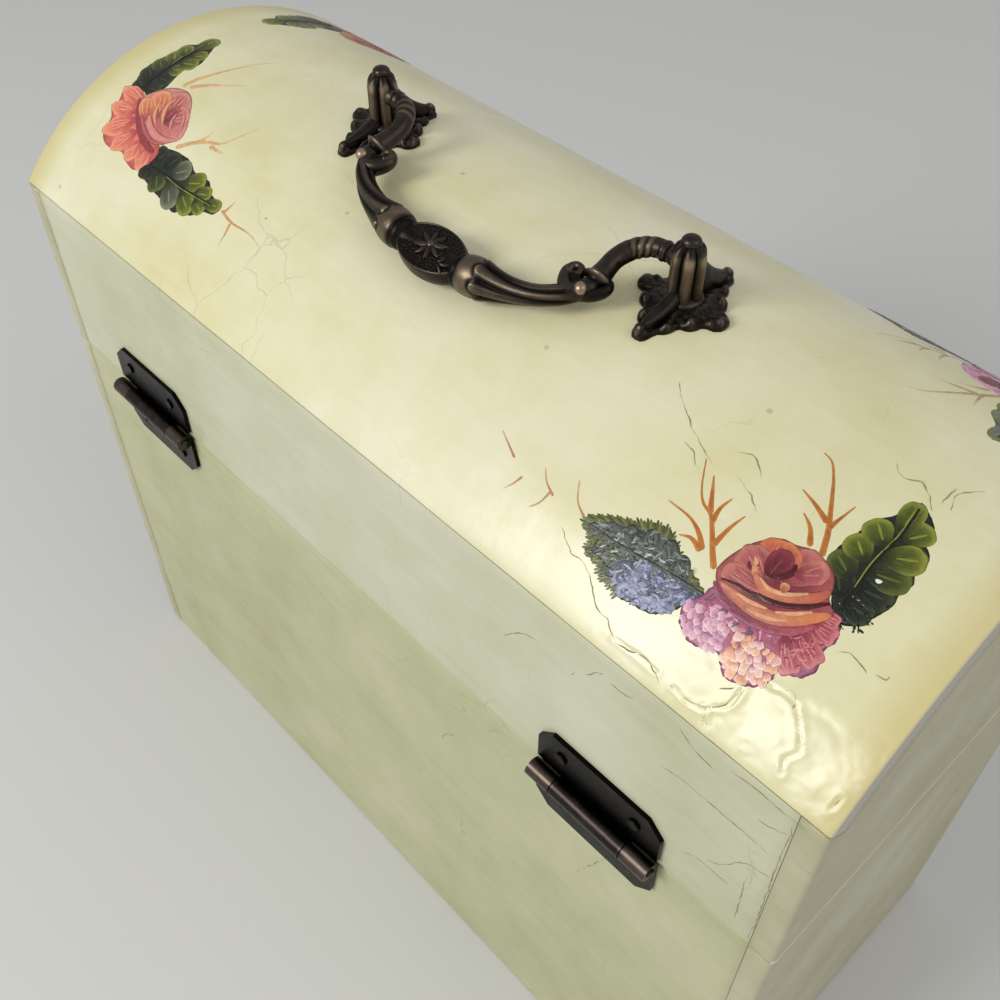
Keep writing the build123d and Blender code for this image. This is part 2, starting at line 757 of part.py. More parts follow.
# The hook hangs down when open, and its mouth runs along the arc that the knob's neck follows in it
mouth_z = latch_pivot_z - hook_reach
with BuildPart() as latch_hook:
    with BuildSketch(in_front(hook_back)):
        with Locations((0, latch_pivot_z)):
            Circle(hook_eye_radius)
        with Locations((0, (latch_pivot_z + mouth_z) / 2)):
            Rectangle(hook_arm_width, hook_reach)
        with Locations((0, mouth_z)):
            Circle(hook_head_radius)
        with Locations((0, mouth_z - hook_head_radius - hook_tab_radius / 2)):
            Circle(hook_tab_radius)
        with BuildLine(mode=Mode.PRIVATE):
            mouth_path = CenterArc((0, latch_pivot_z), hook_reach, -90, -hook_mouth_angle)
        SlotArc(mouth_path, 2 * (knob_neck_radius + knob_neck_clearance), mode=Mode.SUBTRACT)
        with Locations((0, latch_pivot_z)):
            Circle(rivet_radius + rivet_clearance, mode=Mode.SUBTRACT)
    extrude(amount=hook_thickness)
keep(latch_hook, "latch_hook")
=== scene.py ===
"""The looks of a dome-topped keepsake box.

Old cream lacquer with painted rose sprays, bronze hinges and latch, and a cast bail on two posts.

Sizes are in millimetres here and turned to metres where meshes are made.
X runs along the box, the front faces -Y, the hinges are at +Y, and Z is up.
"""

import json
import math

import bmesh
import bpy
import numpy as np
from mathutils import Matrix, Vector, noise


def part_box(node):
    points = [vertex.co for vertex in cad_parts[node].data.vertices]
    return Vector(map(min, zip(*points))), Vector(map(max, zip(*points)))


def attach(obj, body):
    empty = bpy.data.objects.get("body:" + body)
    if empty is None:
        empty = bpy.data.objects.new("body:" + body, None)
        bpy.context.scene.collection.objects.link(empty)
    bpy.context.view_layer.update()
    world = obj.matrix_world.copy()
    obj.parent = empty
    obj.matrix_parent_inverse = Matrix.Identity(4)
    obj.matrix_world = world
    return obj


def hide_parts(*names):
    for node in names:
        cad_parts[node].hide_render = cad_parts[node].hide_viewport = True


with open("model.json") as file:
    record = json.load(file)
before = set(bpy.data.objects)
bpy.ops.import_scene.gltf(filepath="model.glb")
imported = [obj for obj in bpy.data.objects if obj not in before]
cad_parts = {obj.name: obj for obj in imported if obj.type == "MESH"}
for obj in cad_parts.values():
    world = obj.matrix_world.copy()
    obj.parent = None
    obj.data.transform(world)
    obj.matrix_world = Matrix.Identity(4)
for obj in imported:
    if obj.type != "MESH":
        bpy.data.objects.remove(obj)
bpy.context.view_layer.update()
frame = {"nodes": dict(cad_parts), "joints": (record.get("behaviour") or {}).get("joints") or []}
scene = bpy.context.scene
MM = 0.001


def node_box(name):
    """Lowest and highest corners of a CAD node, in millimetres."""
    low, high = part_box(name)
    return np.array(low) / MM, np.array(high) / MM


# The box's own sizes, read from the frame
dome_low, dome_high = node_box("lid_dome")
rail_low, rail_high = node_box("lid_rear_rail")
half_length, half_depth, crest = dome_high
seam, crease = rail_low[2], rail_high[2]
rise = crest - crease
dome_radius = (half_depth**2 + rise**2) / (2 * rise)
dome_centre = crest - dome_radius
half_angle = math.asin(half_depth / dome_radius)
half_arc = dome_radius * half_angle
dome_board = dome_radius - (dome_low[2] - dome_centre) / math.cos(half_angle)
under_radius = dome_radius - dome_board
# How much the bevel at the dome's edge rises for each millimetre outwards
rise_slope = (crease - dome_centre) / half_depth
hinge_low, hinge_high = node_box("hinge_right_lower_leaf")
hinge_place = (hinge_low[0] + hinge_high[0]) / 2
# From a hinge's middle to the gap between its middle knuckle and its end ones
knuckle_gap = 10.5

# Camera, at the photograph's angle
camera_place = (-0.15976, 0.15799, 0.36941)
camera_right = (-0.686706, -0.726927, 0.003393)
camera_up = (0.533675, -0.500967, 0.681339)
camera_back = (-0.493584, 0.469690, 0.731960)


def make_camera():
    data = bpy.data.cameras.new("camera")
    data.sensor_width = 36.0
    data.lens = 41.02
    data.clip_start = 0.01
    camera = bpy.data.objects.new("camera", data)
    scene.collection.objects.link(camera)
    turn = Matrix((camera_right, camera_up, camera_back)).transposed().to_4x4()
    camera.matrix_world = Matrix.Translation(camera_place) @ turn
    scene.camera = camera


# Materials


def linear(hex_colour):
    """An sRGB hex colour as the linear RGBA that the shaders take."""
    channels = [int(hex_colour[i : i + 2], 16) / 255 for i in (1, 3, 5)]
    return [c / 12.92 if c <= 0.04045 else ((c + 0.055) / 1.055) ** 2.4 for c in channels] + [1.0]


def feed(tree, node, inputs):
    """Sets inputs of a node, each to a value, to a socket or to another node's first output."""
    for name, value in dict(inputs).items():
        if isinstance(value, bpy.types.Node):
            value = value.outputs[0]
        if isinstance(value, bpy.types.NodeSocket):
            tree.links.new(value, node.inputs[name])
        else:
            node.inputs[name].default_value = value


def add(tree, kind, inputs=(), stops=(), **settings):
    """Adds one node with its settings, its inputs and a colour ramp's stops of place and colour."""
    node = tree.nodes.new(kind)
    for name, value in settings.items():
        setattr(node, name, value)
    feed(tree, node, inputs)
    if stops:
        elements = node.color_ramp.elements
        while len(elements) < len(stops):
            elements.new(0.5)
        for element, (place, colour) in zip(elements, stops):
            element.position = place
            element.color = linear(colour)
    return node


def new_material(name):
    material = bpy.data.materials.new(name)
    material.use_nodes = True
    tree = material.node_tree
    tree.nodes.clear()
    shader = add(tree, "ShaderNodeBsdfPrincipled")
    add(tree, "ShaderNodeOutputMaterial", {"Surface": shader.outputs["BSDF"]})
    place = add(tree, "ShaderNodeTexCoord").outputs["Object"]
    return material, tree, shader, place


def per_metre(size_mm):
    """Texture scale that gives features of about this size in millimetres."""
    return 1.0 / (size_mm * MM)


def lacquer(name, walls, tones):
    """Old cream oil lacquer brushed over gesso on wood: glossy on the dome, duller and a little greyer on the
    walls, whose given tones are also darker as painted shade.

    Light catches its brushed waves, and dirt sits in hairline cracks, pits and along worn edges.
    """
    material, tree, shader, place = new_material(name)
    clouds = add(tree, "ShaderNodeTexNoise", {
        "Vector": place, "Scale": per_metre(38), "Detail": 6.0, "Roughness": 0.62
    })
    colour = add(tree, "ShaderNodeValToRGB", {"Fac": clouds.outputs["Fac"]}, tones)
    # Faint brush streaks along the box
    along = add(tree, "ShaderNodeMapping", {"Vector": place, "Scale": (0.12, 1.0, 1.0)})
    streaks = add(tree, "ShaderNodeTexNoise", {"Vector": along, "Scale": per_metre(2.5), "Detail": 3.0})
    # Hairline cracks, drawn coarser than the real hundredths of a millimetre so that they show
    bent = add(tree, "ShaderNodeTexNoise", {"Vector": place, "Scale": per_metre(7), "Detail": 4.0})
    shift = add(tree, "ShaderNodeVectorMath", {
        0: bent.outputs["Color"], 1: (0.006, 0.006, 0.006), 2: place
    }, operation="MULTIPLY_ADD")
    cells = add(
        tree, "ShaderNodeTexVoronoi", {"Vector": shift, "Scale": per_metre(19)}, feature="DISTANCE_TO_EDGE"
    )
    line = add(tree, "ShaderNodeMapRange", {
        "Value": cells.outputs["Distance"], "From Min": 0.012, "From Max": 0.002
    })
    patches = add(tree, "ShaderNodeTexNoise", {"Vector": place, "Scale": per_metre(30), "Detail": 2.0})
    where = add(
        tree, "ShaderNodeMapRange", {"Value": patches.outputs["Fac"], "From Min": 0.52, "From Max": 0.66}
    )
    cracked = add(tree, "ShaderNodeMath", {0: line, 1: where}, operation="MULTIPLY")
    # Pits and fly specks
    spots = add(tree, "ShaderNodeTexVoronoi", {"Vector": place, "Scale": per_metre(11), "Randomness": 1.0})
    pit = add(tree, "ShaderNodeMapRange", {
        "Value": spots.outputs["Distance"], "From Min": 0.075, "From Max": 0.035
    })
    chance = add(tree, "ShaderNodeSeparateColor", {"Color": spots.outputs["Color"]}).outputs["Red"]
    few = add(tree, "ShaderNodeMath", {0: chance, 1: 0.72}, operation="GREATER_THAN")
    specks = add(tree, "ShaderNodeMath", {0: pit, 1: few}, operation="MULTIPLY")
    dirt_line = add(tree, "ShaderNodeMath", {0: cracked, 1: 0.22}, operation="MULTIPLY")
    dirt_spot = add(tree, "ShaderNodeMath", {0: specks, 1: 0.35}, operation="MULTIPLY")
    grime = add(tree, "ShaderNodeMath", {0: dirt_line, 1: dirt_spot}, operation="MAXIMUM")
    streaked = add(tree, "ShaderNodeMix", {
        0: 0.10, 6: colour, 7: streaks.outputs["Fac"]
    }, data_type="RGBA", blend_type="OVERLAY")
    # Tints over the colour, each with its share of the surface: first the rubbed edges
    worn = add(tree, "ShaderNodeAttribute", attribute_name="wear").outputs["Fac"]
    rubbed = add(tree, "ShaderNodeMath", {0: worn, 1: 0.2}, operation="MULTIPLY")
    tints = [(rubbed, "#b9b191")]
    parts = add(tree, "ShaderNodeSeparateXYZ", {"Vector": place}).outputs
    aside = add(tree, "ShaderNodeMath", {0: parts["X"]}, operation="ABSOLUTE")
    if walls:
        # A pale band along the lid's lower edge on the ends: partly rubbed lacquer, partly a painted
        # highlight on its rounded edge
        pale = 1.0
        for value, low, high in (
            (parts["Z"], seam + 2.2, seam + 1.2), (parts["Z"], seam - 0.1, seam + 0.1),
            (aside, half_length - 0.8, half_length - 0.4),
        ):
            within = add(
                tree, "ShaderNodeMapRange", {"Value": value, "From Min": low * MM, "From Max": high * MM}
            )
            pale = add(tree, "ShaderNodeMath", {0: pale, 1: within}, operation="MULTIPLY")
        tints.append((pale, "#f0ead0"))
    else:
        # Oil has yellowed near the ends, and the board's end grain is greyer
        for start, full, most, tone in ((9, 2, 0.75, "#d0c283"), (0.5, 0.1, 1.0, "#b4ae9c")):
            near_end = add(tree, "ShaderNodeMapRange", {
                "Value": aside, "To Max": most,
                "From Min": (half_length - start) * MM, "From Max": (half_length - full) * MM,
            })
            tints.append((near_end, tone))
    colour = streaked.outputs[2]
    for share, tone in tints + [(grime, "#6f6a44")]:
        colour = add(
            tree, "ShaderNodeMix", {0: share, 6: colour, 7: linear(tone)}, data_type="RGBA"
        ).outputs[2]
    glossy, dull = (0.34, 0.5) if walls else (0.2, 0.33)
    gloss = add(tree, "ShaderNodeMapRange", {
        "Value": patches.outputs["Fac"], "From Min": 0.3, "From Max": 0.7, "To Min": glossy, "To Max": dull
    })
    waves = add(tree, "ShaderNodeTexNoise", {"Vector": place, "Scale": per_metre(6), "Detail": 3.0})
    relief = add(
        tree, "ShaderNodeMath", {0: cracked, 1: -0.35, 2: waves.outputs["Fac"]}, operation="MULTIPLY_ADD"
    )
    wave_height = 0.25 if walls else 0.12
    bump = add(tree, "ShaderNodeBump", {"Height": relief, "Strength": 0.5, "Distance": wave_height * MM})
    feed(tree, shader, {"Base Color": colour, "Roughness": gloss, "IOR": 1.5, "Normal": bump})
    return material


def oil_paint():
    """Oil colours of the sprays under old varnish: thick, with brush ridges, and glossy."""
    material, tree, shader, place = new_material("oil_paint_varnished")
    colour = add(tree, "ShaderNodeAttribute", attribute_name="paint").outputs["Color"]
    hairs = add(tree, "ShaderNodeTexNoise", {
        "Vector": place, "Scale": per_metre(0.7), "Detail": 4.0, "Roughness": 0.7
    })
    lifted = add(tree, "ShaderNodeMix", {
        0: 0.35, 6: colour, 7: hairs.outputs["Fac"]
    }, data_type="RGBA", blend_type="OVERLAY")
    bump = add(
        tree, "ShaderNodeBump", {"Height": hairs.outputs["Fac"], "Strength": 0.6, "Distance": 0.12 * MM}
    )
    colour = lifted.outputs[2]
    feed(tree, shader, {
        "Base Color": colour, "Roughness": 0.3, "IOR": 1.5, "Specular IOR Level": 0.4, "Normal": bump
    })
    return material


def bare_wood(name, grain):
    """Planed limewood inside the box: pale, close-grained and unpolished. grain is the axis it runs along."""
    material, tree, shader, place = new_material(name)
    drawn_out = [1.0, 1.0, 1.0]
    drawn_out[grain] = 0.07
    along = add(tree, "ShaderNodeMapping", {"Vector": place, "Scale": drawn_out})
    rings = add(tree, "ShaderNodeTexNoise", {
        "Vector": along, "Scale": per_metre(7), "Detail": 5.0, "Roughness": 0.6, "Distortion": 0.6
    }).outputs["Fac"]
    # Pores, drawn twice as coarse as limewood's so that they show
    pores = add(
        tree, "ShaderNodeTexNoise", {"Vector": along, "Scale": per_metre(0.6), "Detail": 2.0}
    ).outputs["Fac"]
    tones = [(0.3, "#a98a5c"), (0.48, "#c4a677"), (0.62, "#d2b88c"), (0.75, "#b99a6a")]
    colour = add(tree, "ShaderNodeValToRGB", {"Fac": rings}, tones)
    stained = add(
        tree, "ShaderNodeMix", {0: 0.3, 6: colour, 7: pores}, data_type="RGBA", blend_type="OVERLAY"
    )
    dull = add(tree, "ShaderNodeMapRange", {"Value": rings, "To Min": 0.62, "To Max": 0.8})
    bump = add(tree, "ShaderNodeBump", {"Height": pores, "Strength": 0.4, "Distance": 0.1 * MM})
    feed(tree, shader, {"Base Color": stained.outputs[2], "Roughness": dull, "Normal": bump})
    return material


def metal(name, worn, tones, rough_range, grain_mm, relief_mm):
    """A metal whose tone runs from tarnished to rubbed with worn, broken up by patches of patina; on the
    bronze's knuckles worn also carries painted highlight.
    """
    material, tree, shader, place = new_material(name)
    patches = add(tree, "ShaderNodeTexNoise", {
        "Vector": place, "Scale": per_metre(5), "Detail": 6.0, "Roughness": 0.7
    })
    grain = add(
        tree, "ShaderNodeTexNoise", {"Vector": place, "Scale": per_metre(grain_mm), "Detail": 3.0}
    ).outputs["Fac"]
    given = worn(tree, place)
    uneven = add(
        tree, "ShaderNodeMath", {0: patches.outputs["Fac"], 1: 0.5, 2: -0.25}, operation="MULTIPLY_ADD"
    )
    total = add(tree, "ShaderNodeMath", {0: given, 1: uneven}, operation="ADD", use_clamp=True)
    colour = add(tree, "ShaderNodeValToRGB", {"Fac": total}, tones)
    low, high = rough_range
    dull = add(tree, "ShaderNodeMapRange", {
        "Value": patches.outputs["Fac"], "From Min": 0.3, "From Max": 0.7, "To Min": low, "To Max": high
    })
    bump = add(tree, "ShaderNodeBump", {"Height": grain, "Strength": 0.6, "Distance": relief_mm * MM})
    feed(tree, shader, {"Base Color": colour, "Metallic": 1.0, "Roughness": dull, "Normal": bump})
    return material


def dark_bronze():
    """Blackened bronze of the hinges and the latch, paler on the knuckles' outer side: a painted highlight
    along the middle knuckle, and painted highlight with rubbing on the end ones.
    """

    def knuckle_wear_and_sheen(tree, place):
        parts = add(tree, "ShaderNodeSeparateXYZ", {"Vector": place}).outputs
        aside = add(tree, "ShaderNodeMath", {0: parts["X"]}, operation="ABSOLUTE")
        off = add(tree, "ShaderNodeMath", {0: aside, 1: hinge_place * MM}, operation="SUBTRACT")
        off = add(tree, "ShaderNodeMath", {0: off}, operation="ABSOLUTE")
        ends = add(tree, "ShaderNodeMapRange", {
            "Value": off, "From Min": (knuckle_gap - 1) * MM, "From Max": (knuckle_gap + 1) * MM
        })
        # Painted highlight: the knuckles' outer side is made paler to stand in for the light that runs along
        # them
        rear = add(tree, "ShaderNodeMapRange", {
            "Value": parts["Y"], "From Min": (half_depth + 1.5) * MM, "From Max": (half_depth + 3.5) * MM
        })
        # The end knuckles are paler still, partly rubbed and partly painted highlight
        rubbed_and_lit = add(tree, "ShaderNodeMath", {0: ends, 1: 0.45, 2: 0.33}, operation="MULTIPLY_ADD")
        return add(tree, "ShaderNodeMath", {0: rubbed_and_lit, 1: rear}, operation="MULTIPLY")

    tones = [(0.0, "#14120f"), (0.2, "#1f1b19"), (0.4, "#3d3633"), (0.8, "#574c45"), (1.0, "#6f6258")]
    return metal("bronze_blackened", knuckle_wear_and_sheen, tones, (0.28, 0.44), 0.8, 0.05)


def antique_brass():
    """Cast brass under a dark patina, rubbed to a pinkish gold where hands and cloths touch it."""

    def rubbed(tree, place):
        return add(tree, "ShaderNodeAttribute", attribute_name="wear").outputs["Fac"]

    tones = [(0.0, "#1c1916"), (0.35, "#35302b"), (0.6, "#514941"), (0.8, "#756756"), (1.0, "#a8927f")]
    return metal("brass_cast_patinated", rubbed, tones, (0.3, 0.5), 0.9, 0.07)


def bright_steel():
    """Zinc-plated steel of the screws inside the lid, with the plating's faint cloudy crystals."""

    def spangle(tree, place):
        return add(
            tree, "ShaderNodeTexVoronoi", {"Vector": place, "Scale": per_metre(2.5)}
        ).outputs["Distance"]

    tones = [(0.0, "#8f9296"), (0.5, "#b3b6ba"), (1.0, "#d3d5d8")]
    return metal("steel_zinc_plated", spangle, tones, (0.22, 0.38), 0.5, 0.02)


# Shapes


def blend_in(low, high, value):
    """0 below low, 1 above high and a smooth turn between them."""
    share = np.clip((value - low) / (high - low), 0.0, 1.0)
    return share * share * (3 - 2 * share)


def grid_faces(rows, columns, closed):
    """Quads over a grid of points, row by row, closed round each row or open."""
    row = np.arange(rows - 1)[:, None]
    column = np.arange(columns if closed else columns - 1)[None, :]
    after = (column + 1) % columns
    here, beyond = row * columns, (row + 1) * columns
    corners = (here + column, here + after, beyond + after, beyond + column)
    return np.stack(np.broadcast_arrays(*corners), axis=-1).reshape(-1, 4)


class Shells:
    """Closed shells in millimetres that are gathered into one piece, each point with its wear from 0 to 1."""

    def __init__(self):
        self.points, self.faces, self.wear, self.count = [], [], [], 0

    def add(self, points, faces, wear=0.5):
        points = np.asarray(points, float).reshape(-1, 3)
        self.faces += [tuple(int(corner) + self.count for corner in face) for face in faces]
        self.points.append(points)
        self.wear.append(np.broadcast_to(np.asarray(wear, float).reshape(-1), (len(points),)))
        self.count += len(points)

    def loft(self, rings, wear=0.5):
        """A skin through rings of points, closed at both ends."""
        rings = np.asarray(rings, float)
        count, sides = rings.shape[:2]
        wear = np.broadcast_to(np.asarray(wear, float), (count, sides))
        points = np.concatenate([rings.reshape(-1, 3), [rings[0].mean(0), rings[-1].mean(0)]])
        first, last = count * sides, count * sides + 1
        faces = [tuple(face) for face in grid_faces(count, sides, True)]
        for side in range(sides):
            after = (side + 1) % sides
            faces.append((first, after, side))
            faces.append((last, (count - 1) * sides + side, (count - 1) * sides + after))
        self.add(points, faces, np.append(wear.reshape(-1), [wear[0].mean(), wear[-1].mean()]))

    def tube(self, centres, radii, sides=16, up=(0, 0, 1), flatness=1.0, wear=0.5):
        """A round-ended tube along centres. Its thickness towards up is flatness times its half width."""
        centres, up = np.asarray(centres, float), np.asarray(up, float)
        radii = np.broadcast_to(np.asarray(radii, float), (len(centres),)).copy()
        heading = np.gradient(centres, axis=0)
        heading /= np.linalg.norm(heading, axis=1)[:, None]
        across = np.cross(heading, up)
        across /= np.linalg.norm(across, axis=1)[:, None]
        rise_way = np.cross(across, heading)
        steps = [(size, math.sqrt(1 - size * size)) for size in (0.15, 0.5, 0.8)]
        start = [(centres[0] - heading[0] * radii[0] * out, radii[0] * size, 0) for size, out in steps]
        body = [(centres[i], radii[i], i) for i in range(len(centres))]
        steps.reverse()
        end = [(centres[-1] + heading[-1] * radii[-1] * out, radii[-1] * size, -1) for size, out in steps]
        turn = np.linspace(0, 2 * math.pi, sides, endpoint=False)[:, None]
        rings = [
            centre + radius * (np.cos(turn) * across[i] + flatness * np.sin(turn) * rise_way[i])
            for centre, radius, i in start + body + end
        ]
        self.loft(rings, wear)

    def ball(self, centre, radius, squash=(1, 1, 1), frame_axes=np.eye(3), sides=20, wear=0.6):
        """A ball, squashed along its own three axes."""
        around = np.linspace(0, 2 * math.pi, sides, endpoint=False)
        rings = []
        for lift in np.linspace(-math.pi / 2, math.pi / 2, sides // 2 + 1)[1:-1]:
            level = math.cos(lift)
            ring = np.stack([level * np.cos(around), level * np.sin(around), 0 * around + math.sin(lift)], 1)
            rings.append(np.asarray(centre) + (radius * ring * squash) @ frame_axes)
        self.loft(rings, wear)

    def piece(self, name, material, body, slot_name, stands_for=()):
        """Makes the mesh, in metres at the origin, and lets it ride on its body."""
        points = np.concatenate(self.points) * MM
        data = bpy.data.meshes.new(name)
        data.from_pydata(points.tolist(), [], self.faces)
        data.materials.append(material)
        layer = data.attributes.new("wear", "FLOAT", "POINT")
        layer.data.foreach_set("value", np.concatenate(self.wear).astype(np.float32))
        set_in_place(data, body, stands_for)


def set_in_place(data, body, stands_for=()):
    """Makes the object of a finished mesh, which rides on its body and may stand for nodes of the frame."""
    data.polygons.foreach_set("use_smooth", [True] * len(data.polygons))
    settle(data)
    obj = bpy.data.objects.new(data.name, data)
    scene.collection.objects.link(obj)
    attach(obj, body)
    if stands_for:
        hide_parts(*stands_for)


def settle(data):
    """Merges doubled points and turns every face outwards."""
    work = bmesh.new()
    work.from_mesh(data)
    bmesh.ops.remove_doubles(work, verts=work.verts, dist=1e-7)
    bmesh.ops.recalc_face_normals(work, faces=work.faces)
    work.to_mesh(data)
    work.free()


def smooth_path(knots, spacing):
    """Even points along a smooth curve through knots, whose rows may carry further values."""
    knots = np.asarray(knots, float)
    steps = np.sqrt(np.linalg.norm(np.diff(knots[:, :2], axis=0), axis=1))
    at = np.concatenate([[0], np.cumsum(np.maximum(steps, 1e-6))])
    slope = np.gradient(knots, at, axis=0)
    fine = np.linspace(0, at[-1], 40 * len(knots))
    left = np.clip(np.searchsorted(at, fine, side="right") - 1, 0, len(at) - 2)
    span = (at[left + 1] - at[left])[:, None]
    t = (fine - at[left])[:, None] / span
    curve = (
        (2 * t**3 - 3 * t**2 + 1) * knots[left]
        + (t**3 - 2 * t**2 + t) * span * slope[left]
        + (3 * t**2 - 2 * t**3) * knots[left + 1]
        + (t**3 - t**2) * span * slope[left + 1]
    )
    run = np.concatenate([[0], np.cumsum(np.linalg.norm(np.diff(curve[:, :2], axis=0), axis=1))])
    even = np.linspace(0, run[-1], max(int(run[-1] / spacing) + 1, 3))
    return np.stack([np.interp(even, run, curve[:, i]) for i in range(knots.shape[1])], axis=1)


def on_dome(x, y, height):
    """A point over plan place (x, y), at a height square to the dome's face."""
    radius = dome_radius + height
    return np.stack([x, y, dome_centre + np.sqrt(radius**2 - np.asarray(y) ** 2)], axis=-1)


def node_group(name, **inputs):
    """A new geometry node tree that takes a geometry, a finish and more inputs, and their sockets."""
    tree = bpy.data.node_groups.new(name, "GeometryNodeTree")
    kinds = {"Geometry": "NodeSocketGeometry", "Finish": "NodeSocketMaterial", **inputs}
    for label, kind in kinds.items():
        tree.interface.new_socket(label, in_out="INPUT", socket_type=kind)
    tree.interface.new_socket("Geometry", in_out="OUTPUT", socket_type="NodeSocketGeometry")
    return tree, add(tree, "NodeGroupInput").outputs


def close_group(tree, given, geometry):
    """Ends a tree: real copies with their material."""
    real = add(tree, "GeometryNodeRealizeInstances", {"Geometry": geometry})
    done = add(tree, "GeometryNodeSetMaterial", {"Geometry": real, "Material": given["Finish"]})
    add(tree, "NodeGroupOutput", {"Geometry": done})
    return tree


def grown(obj, tree, **inputs):
    """The plain mesh that a node tree makes from an object, which then goes."""
    modifier = obj.modifiers.new("made", "NODES")
    modifier.node_group = tree
    for item in tree.interface.items_tree:
        if item.in_out == "INPUT" and item.name in inputs:
            modifier[item.identifier] = inputs[item.name]
    evaluated = obj.evaluated_get(bpy.context.evaluated_depsgraph_get())
    data = bpy.data.meshes.new_from_object(evaluated)
    obj.modifiers.remove(modifier)
    bpy.data.objects.remove(obj)
    return data


def loose_object(name, points, edges, faces):
    """An object from points in millimetres that nothing keeps, for a node tree to work on."""
    data = bpy.data.meshes.new(name)
    data.from_pydata((np.asarray(points) * MM).tolist(), edges, faces)
    data.polygons.foreach_set("use_smooth", [True] * len(data.polygons))
    obj = bpy.data.objects.new(name, data)
    scene.collection.objects.link(obj)
    return obj


def mesh_shell(shells, data, shift, wear):
    """Adds a plain mesh to shells, moved by shift millimetres. wear is a value or takes the mesh's points."""
    points = np.empty(len(data.vertices) * 3)
    data.vertices.foreach_get("co", points)
    points = points.reshape(-1, 3) / MM
    faces = [tuple(face.vertices) for face in data.polygons]
    shells.add(points + shift, faces, wear(points) if callable(wear) else wear)


# Boards: gesso and lacquer have softened their edges, and age has left them a little uneven

# How far edges are rounded: at corners, along outer faces, the seam and the foot, and where boards meet
corner_soft, outer_soft, seam_soft, foot_soft, joint_soft = 1.3, 0.7, 0.7, 0.9, 0.12


def near_line(x, y, line):
    """Distance of points from a chain of straight runs."""
    best = np.full(np.shape(x), 1e9)
    for (ax, ay), (bx, by) in zip(line[:-1], line[1:]):
        length = (bx - ax) ** 2 + (by - ay) ** 2
        along = np.clip(((x - ax) * (bx - ax) + (y - ay) * (by - ay)) / length, 0, 1)
        best = np.minimum(best, np.hypot(x - ax - along * (bx - ax), y - ay - along * (by - ay)))
    return best


def rough(x, y, z, size):
    """Smooth noise from -1 to 1 with features of one size in millimetres."""
    flat = np.stack([np.ravel(x), np.ravel(y), np.ravel(z)], 1) / size
    return np.array([noise.noise(spot) for spot in flat.tolist()]).reshape(np.shape(x))


# Wrinkles and lifted edges in the lacquer near the lid's rear left corner: along the box, down the arc
lacquer_ridges = [
    [(-109.3, 57.5), (-109.3, 60.5), (-108.5, 61.8), (-107.0, 63.0), (-105.8, 64.6), (-107.8, 67.2)],
    [(-105.8, 64.6), (-104.0, 65.3), (-102.0, 65.5), (-99.0, 65.0)],
    [
        (-112.0, 54.5), (-115.5, 53.8), (-118.0, 54.0), (-121.0, 57.0), (-123.0, 60.0), (-121.5, 62.5),
        (-122.6, 65.0)
    ],
    [(-95.0, 64.4), (-90.0, 64.2), (-85.0, 64.6)],
    [(-132.6, 61.5), (-132.0, 64.7)],
]


def lacquer_height(x, arc):
    """How far the lacquer stands over or under the dome's true curve, in millimetres."""
    gentle = 0.09 * rough(x, arc, 0 * x, 24.0) + 0.03 * rough(x, arc, 0 * x + 9, 7.0)
    corner = blend_in(44, 53, arc) * (1 - blend_in(-92, -72, x))
    puffy = 0.2 * np.abs(rough(x, arc, 0 * x + 4, 6.5)) + 0.07 * np.abs(rough(x, arc, 0 * x + 2, 2.4)) - 0.02
    height = gentle - 0.05 + corner * puffy
    for line in lacquer_ridges:
        # A raised lip with a fine split along it
        away = near_line(x, arc, line)
        height = height + 0.16 * np.exp(-((away / 1.1) ** 2)) - 0.3 * np.exp(-((away / 0.28) ** 2))
    return height


def on_arc(x, arc, height=0.0):
    """A point over the dome: its place along the box, its way down the arc from the crest, its height."""
    angle = np.asarray(arc) / dome_radius
    radius = dome_radius + np.asarray(height)
    y, z = radius * np.sin(angle), dome_centre + radius * np.cos(angle)
    return np.stack(np.broadcast_arrays(np.asarray(x, float), y, z), axis=-1)


def on_lacquer(x, arc, lift=0.0):
    """A point on the uneven lacquer of the dome, lifted off it."""
    x, arc = np.asarray(x, float), np.asarray(arc, float)
    return on_arc(x, arc, lacquer_height(x, arc) + lift)


def rows(low, high, step, soft_low, soft_high):
    """Places from low to high, a step apart, and closer where the edges are rounded."""
    close = np.array([0.0, 0.08, 0.3, 0.62, 1.0])
    middle = np.linspace(low + soft_low, high - soft_high, max(int((high - low) / step), 2))
    return np.unique(np.round(np.concatenate([low + soft_low * close, middle, high - soft_high * close]), 5))


def eased_block(low, high, soft_low, soft_high, steps, spacing=None):
    """A closed block with rounded edges: points, faces, sides of the faces, and nearness to an edge."""
    low, high = np.asarray(low, float), np.asarray(high, float)
    soft_low, soft_high = np.asarray(soft_low, float), np.asarray(soft_high, float)
    places = [rows(low[i], high[i], steps[i], soft_low[i], soft_high[i]) for i in range(3)]
    for axis, given in (spacing or {}).items():
        places[axis] = np.unique(np.round(np.concatenate([places[axis], given]), 5))
    points, faces, sides, count = [], [], [], 0
    for axis in range(3):
        across, up = (axis + 1) % 3, (axis + 2) % 3
        for end in (0, -1):
            grid = np.stack(np.meshgrid(places[across], places[up], indexing="ij"), -1)
            corner = np.empty(grid.shape[:2] + (3,))
            corner[..., axis] = places[axis][end]
            corner[..., across], corner[..., up] = grid[..., 0], grid[..., 1]
            found = grid_faces(*grid.shape[:2], False) + count
            faces.append(found)
            sides.append(np.full(len(found), 2 * axis + (end == -1)))
            points.append(corner.reshape(-1, 3))
            count += len(points[-1])
    points = np.concatenate(points)
    core = np.clip(points, low + soft_low, high - soft_high)
    reach = points - core
    soft = np.where(reach < 0, soft_low, soft_high)
    share = reach / soft
    size = np.maximum(np.linalg.norm(share, axis=1), 1e-9)[:, None]
    rounded = core + soft * share / size
    return rounded, np.concatenate(faces), np.concatenate(sides), np.clip((size[:, 0] - 1) / 0.35, 0, 1)


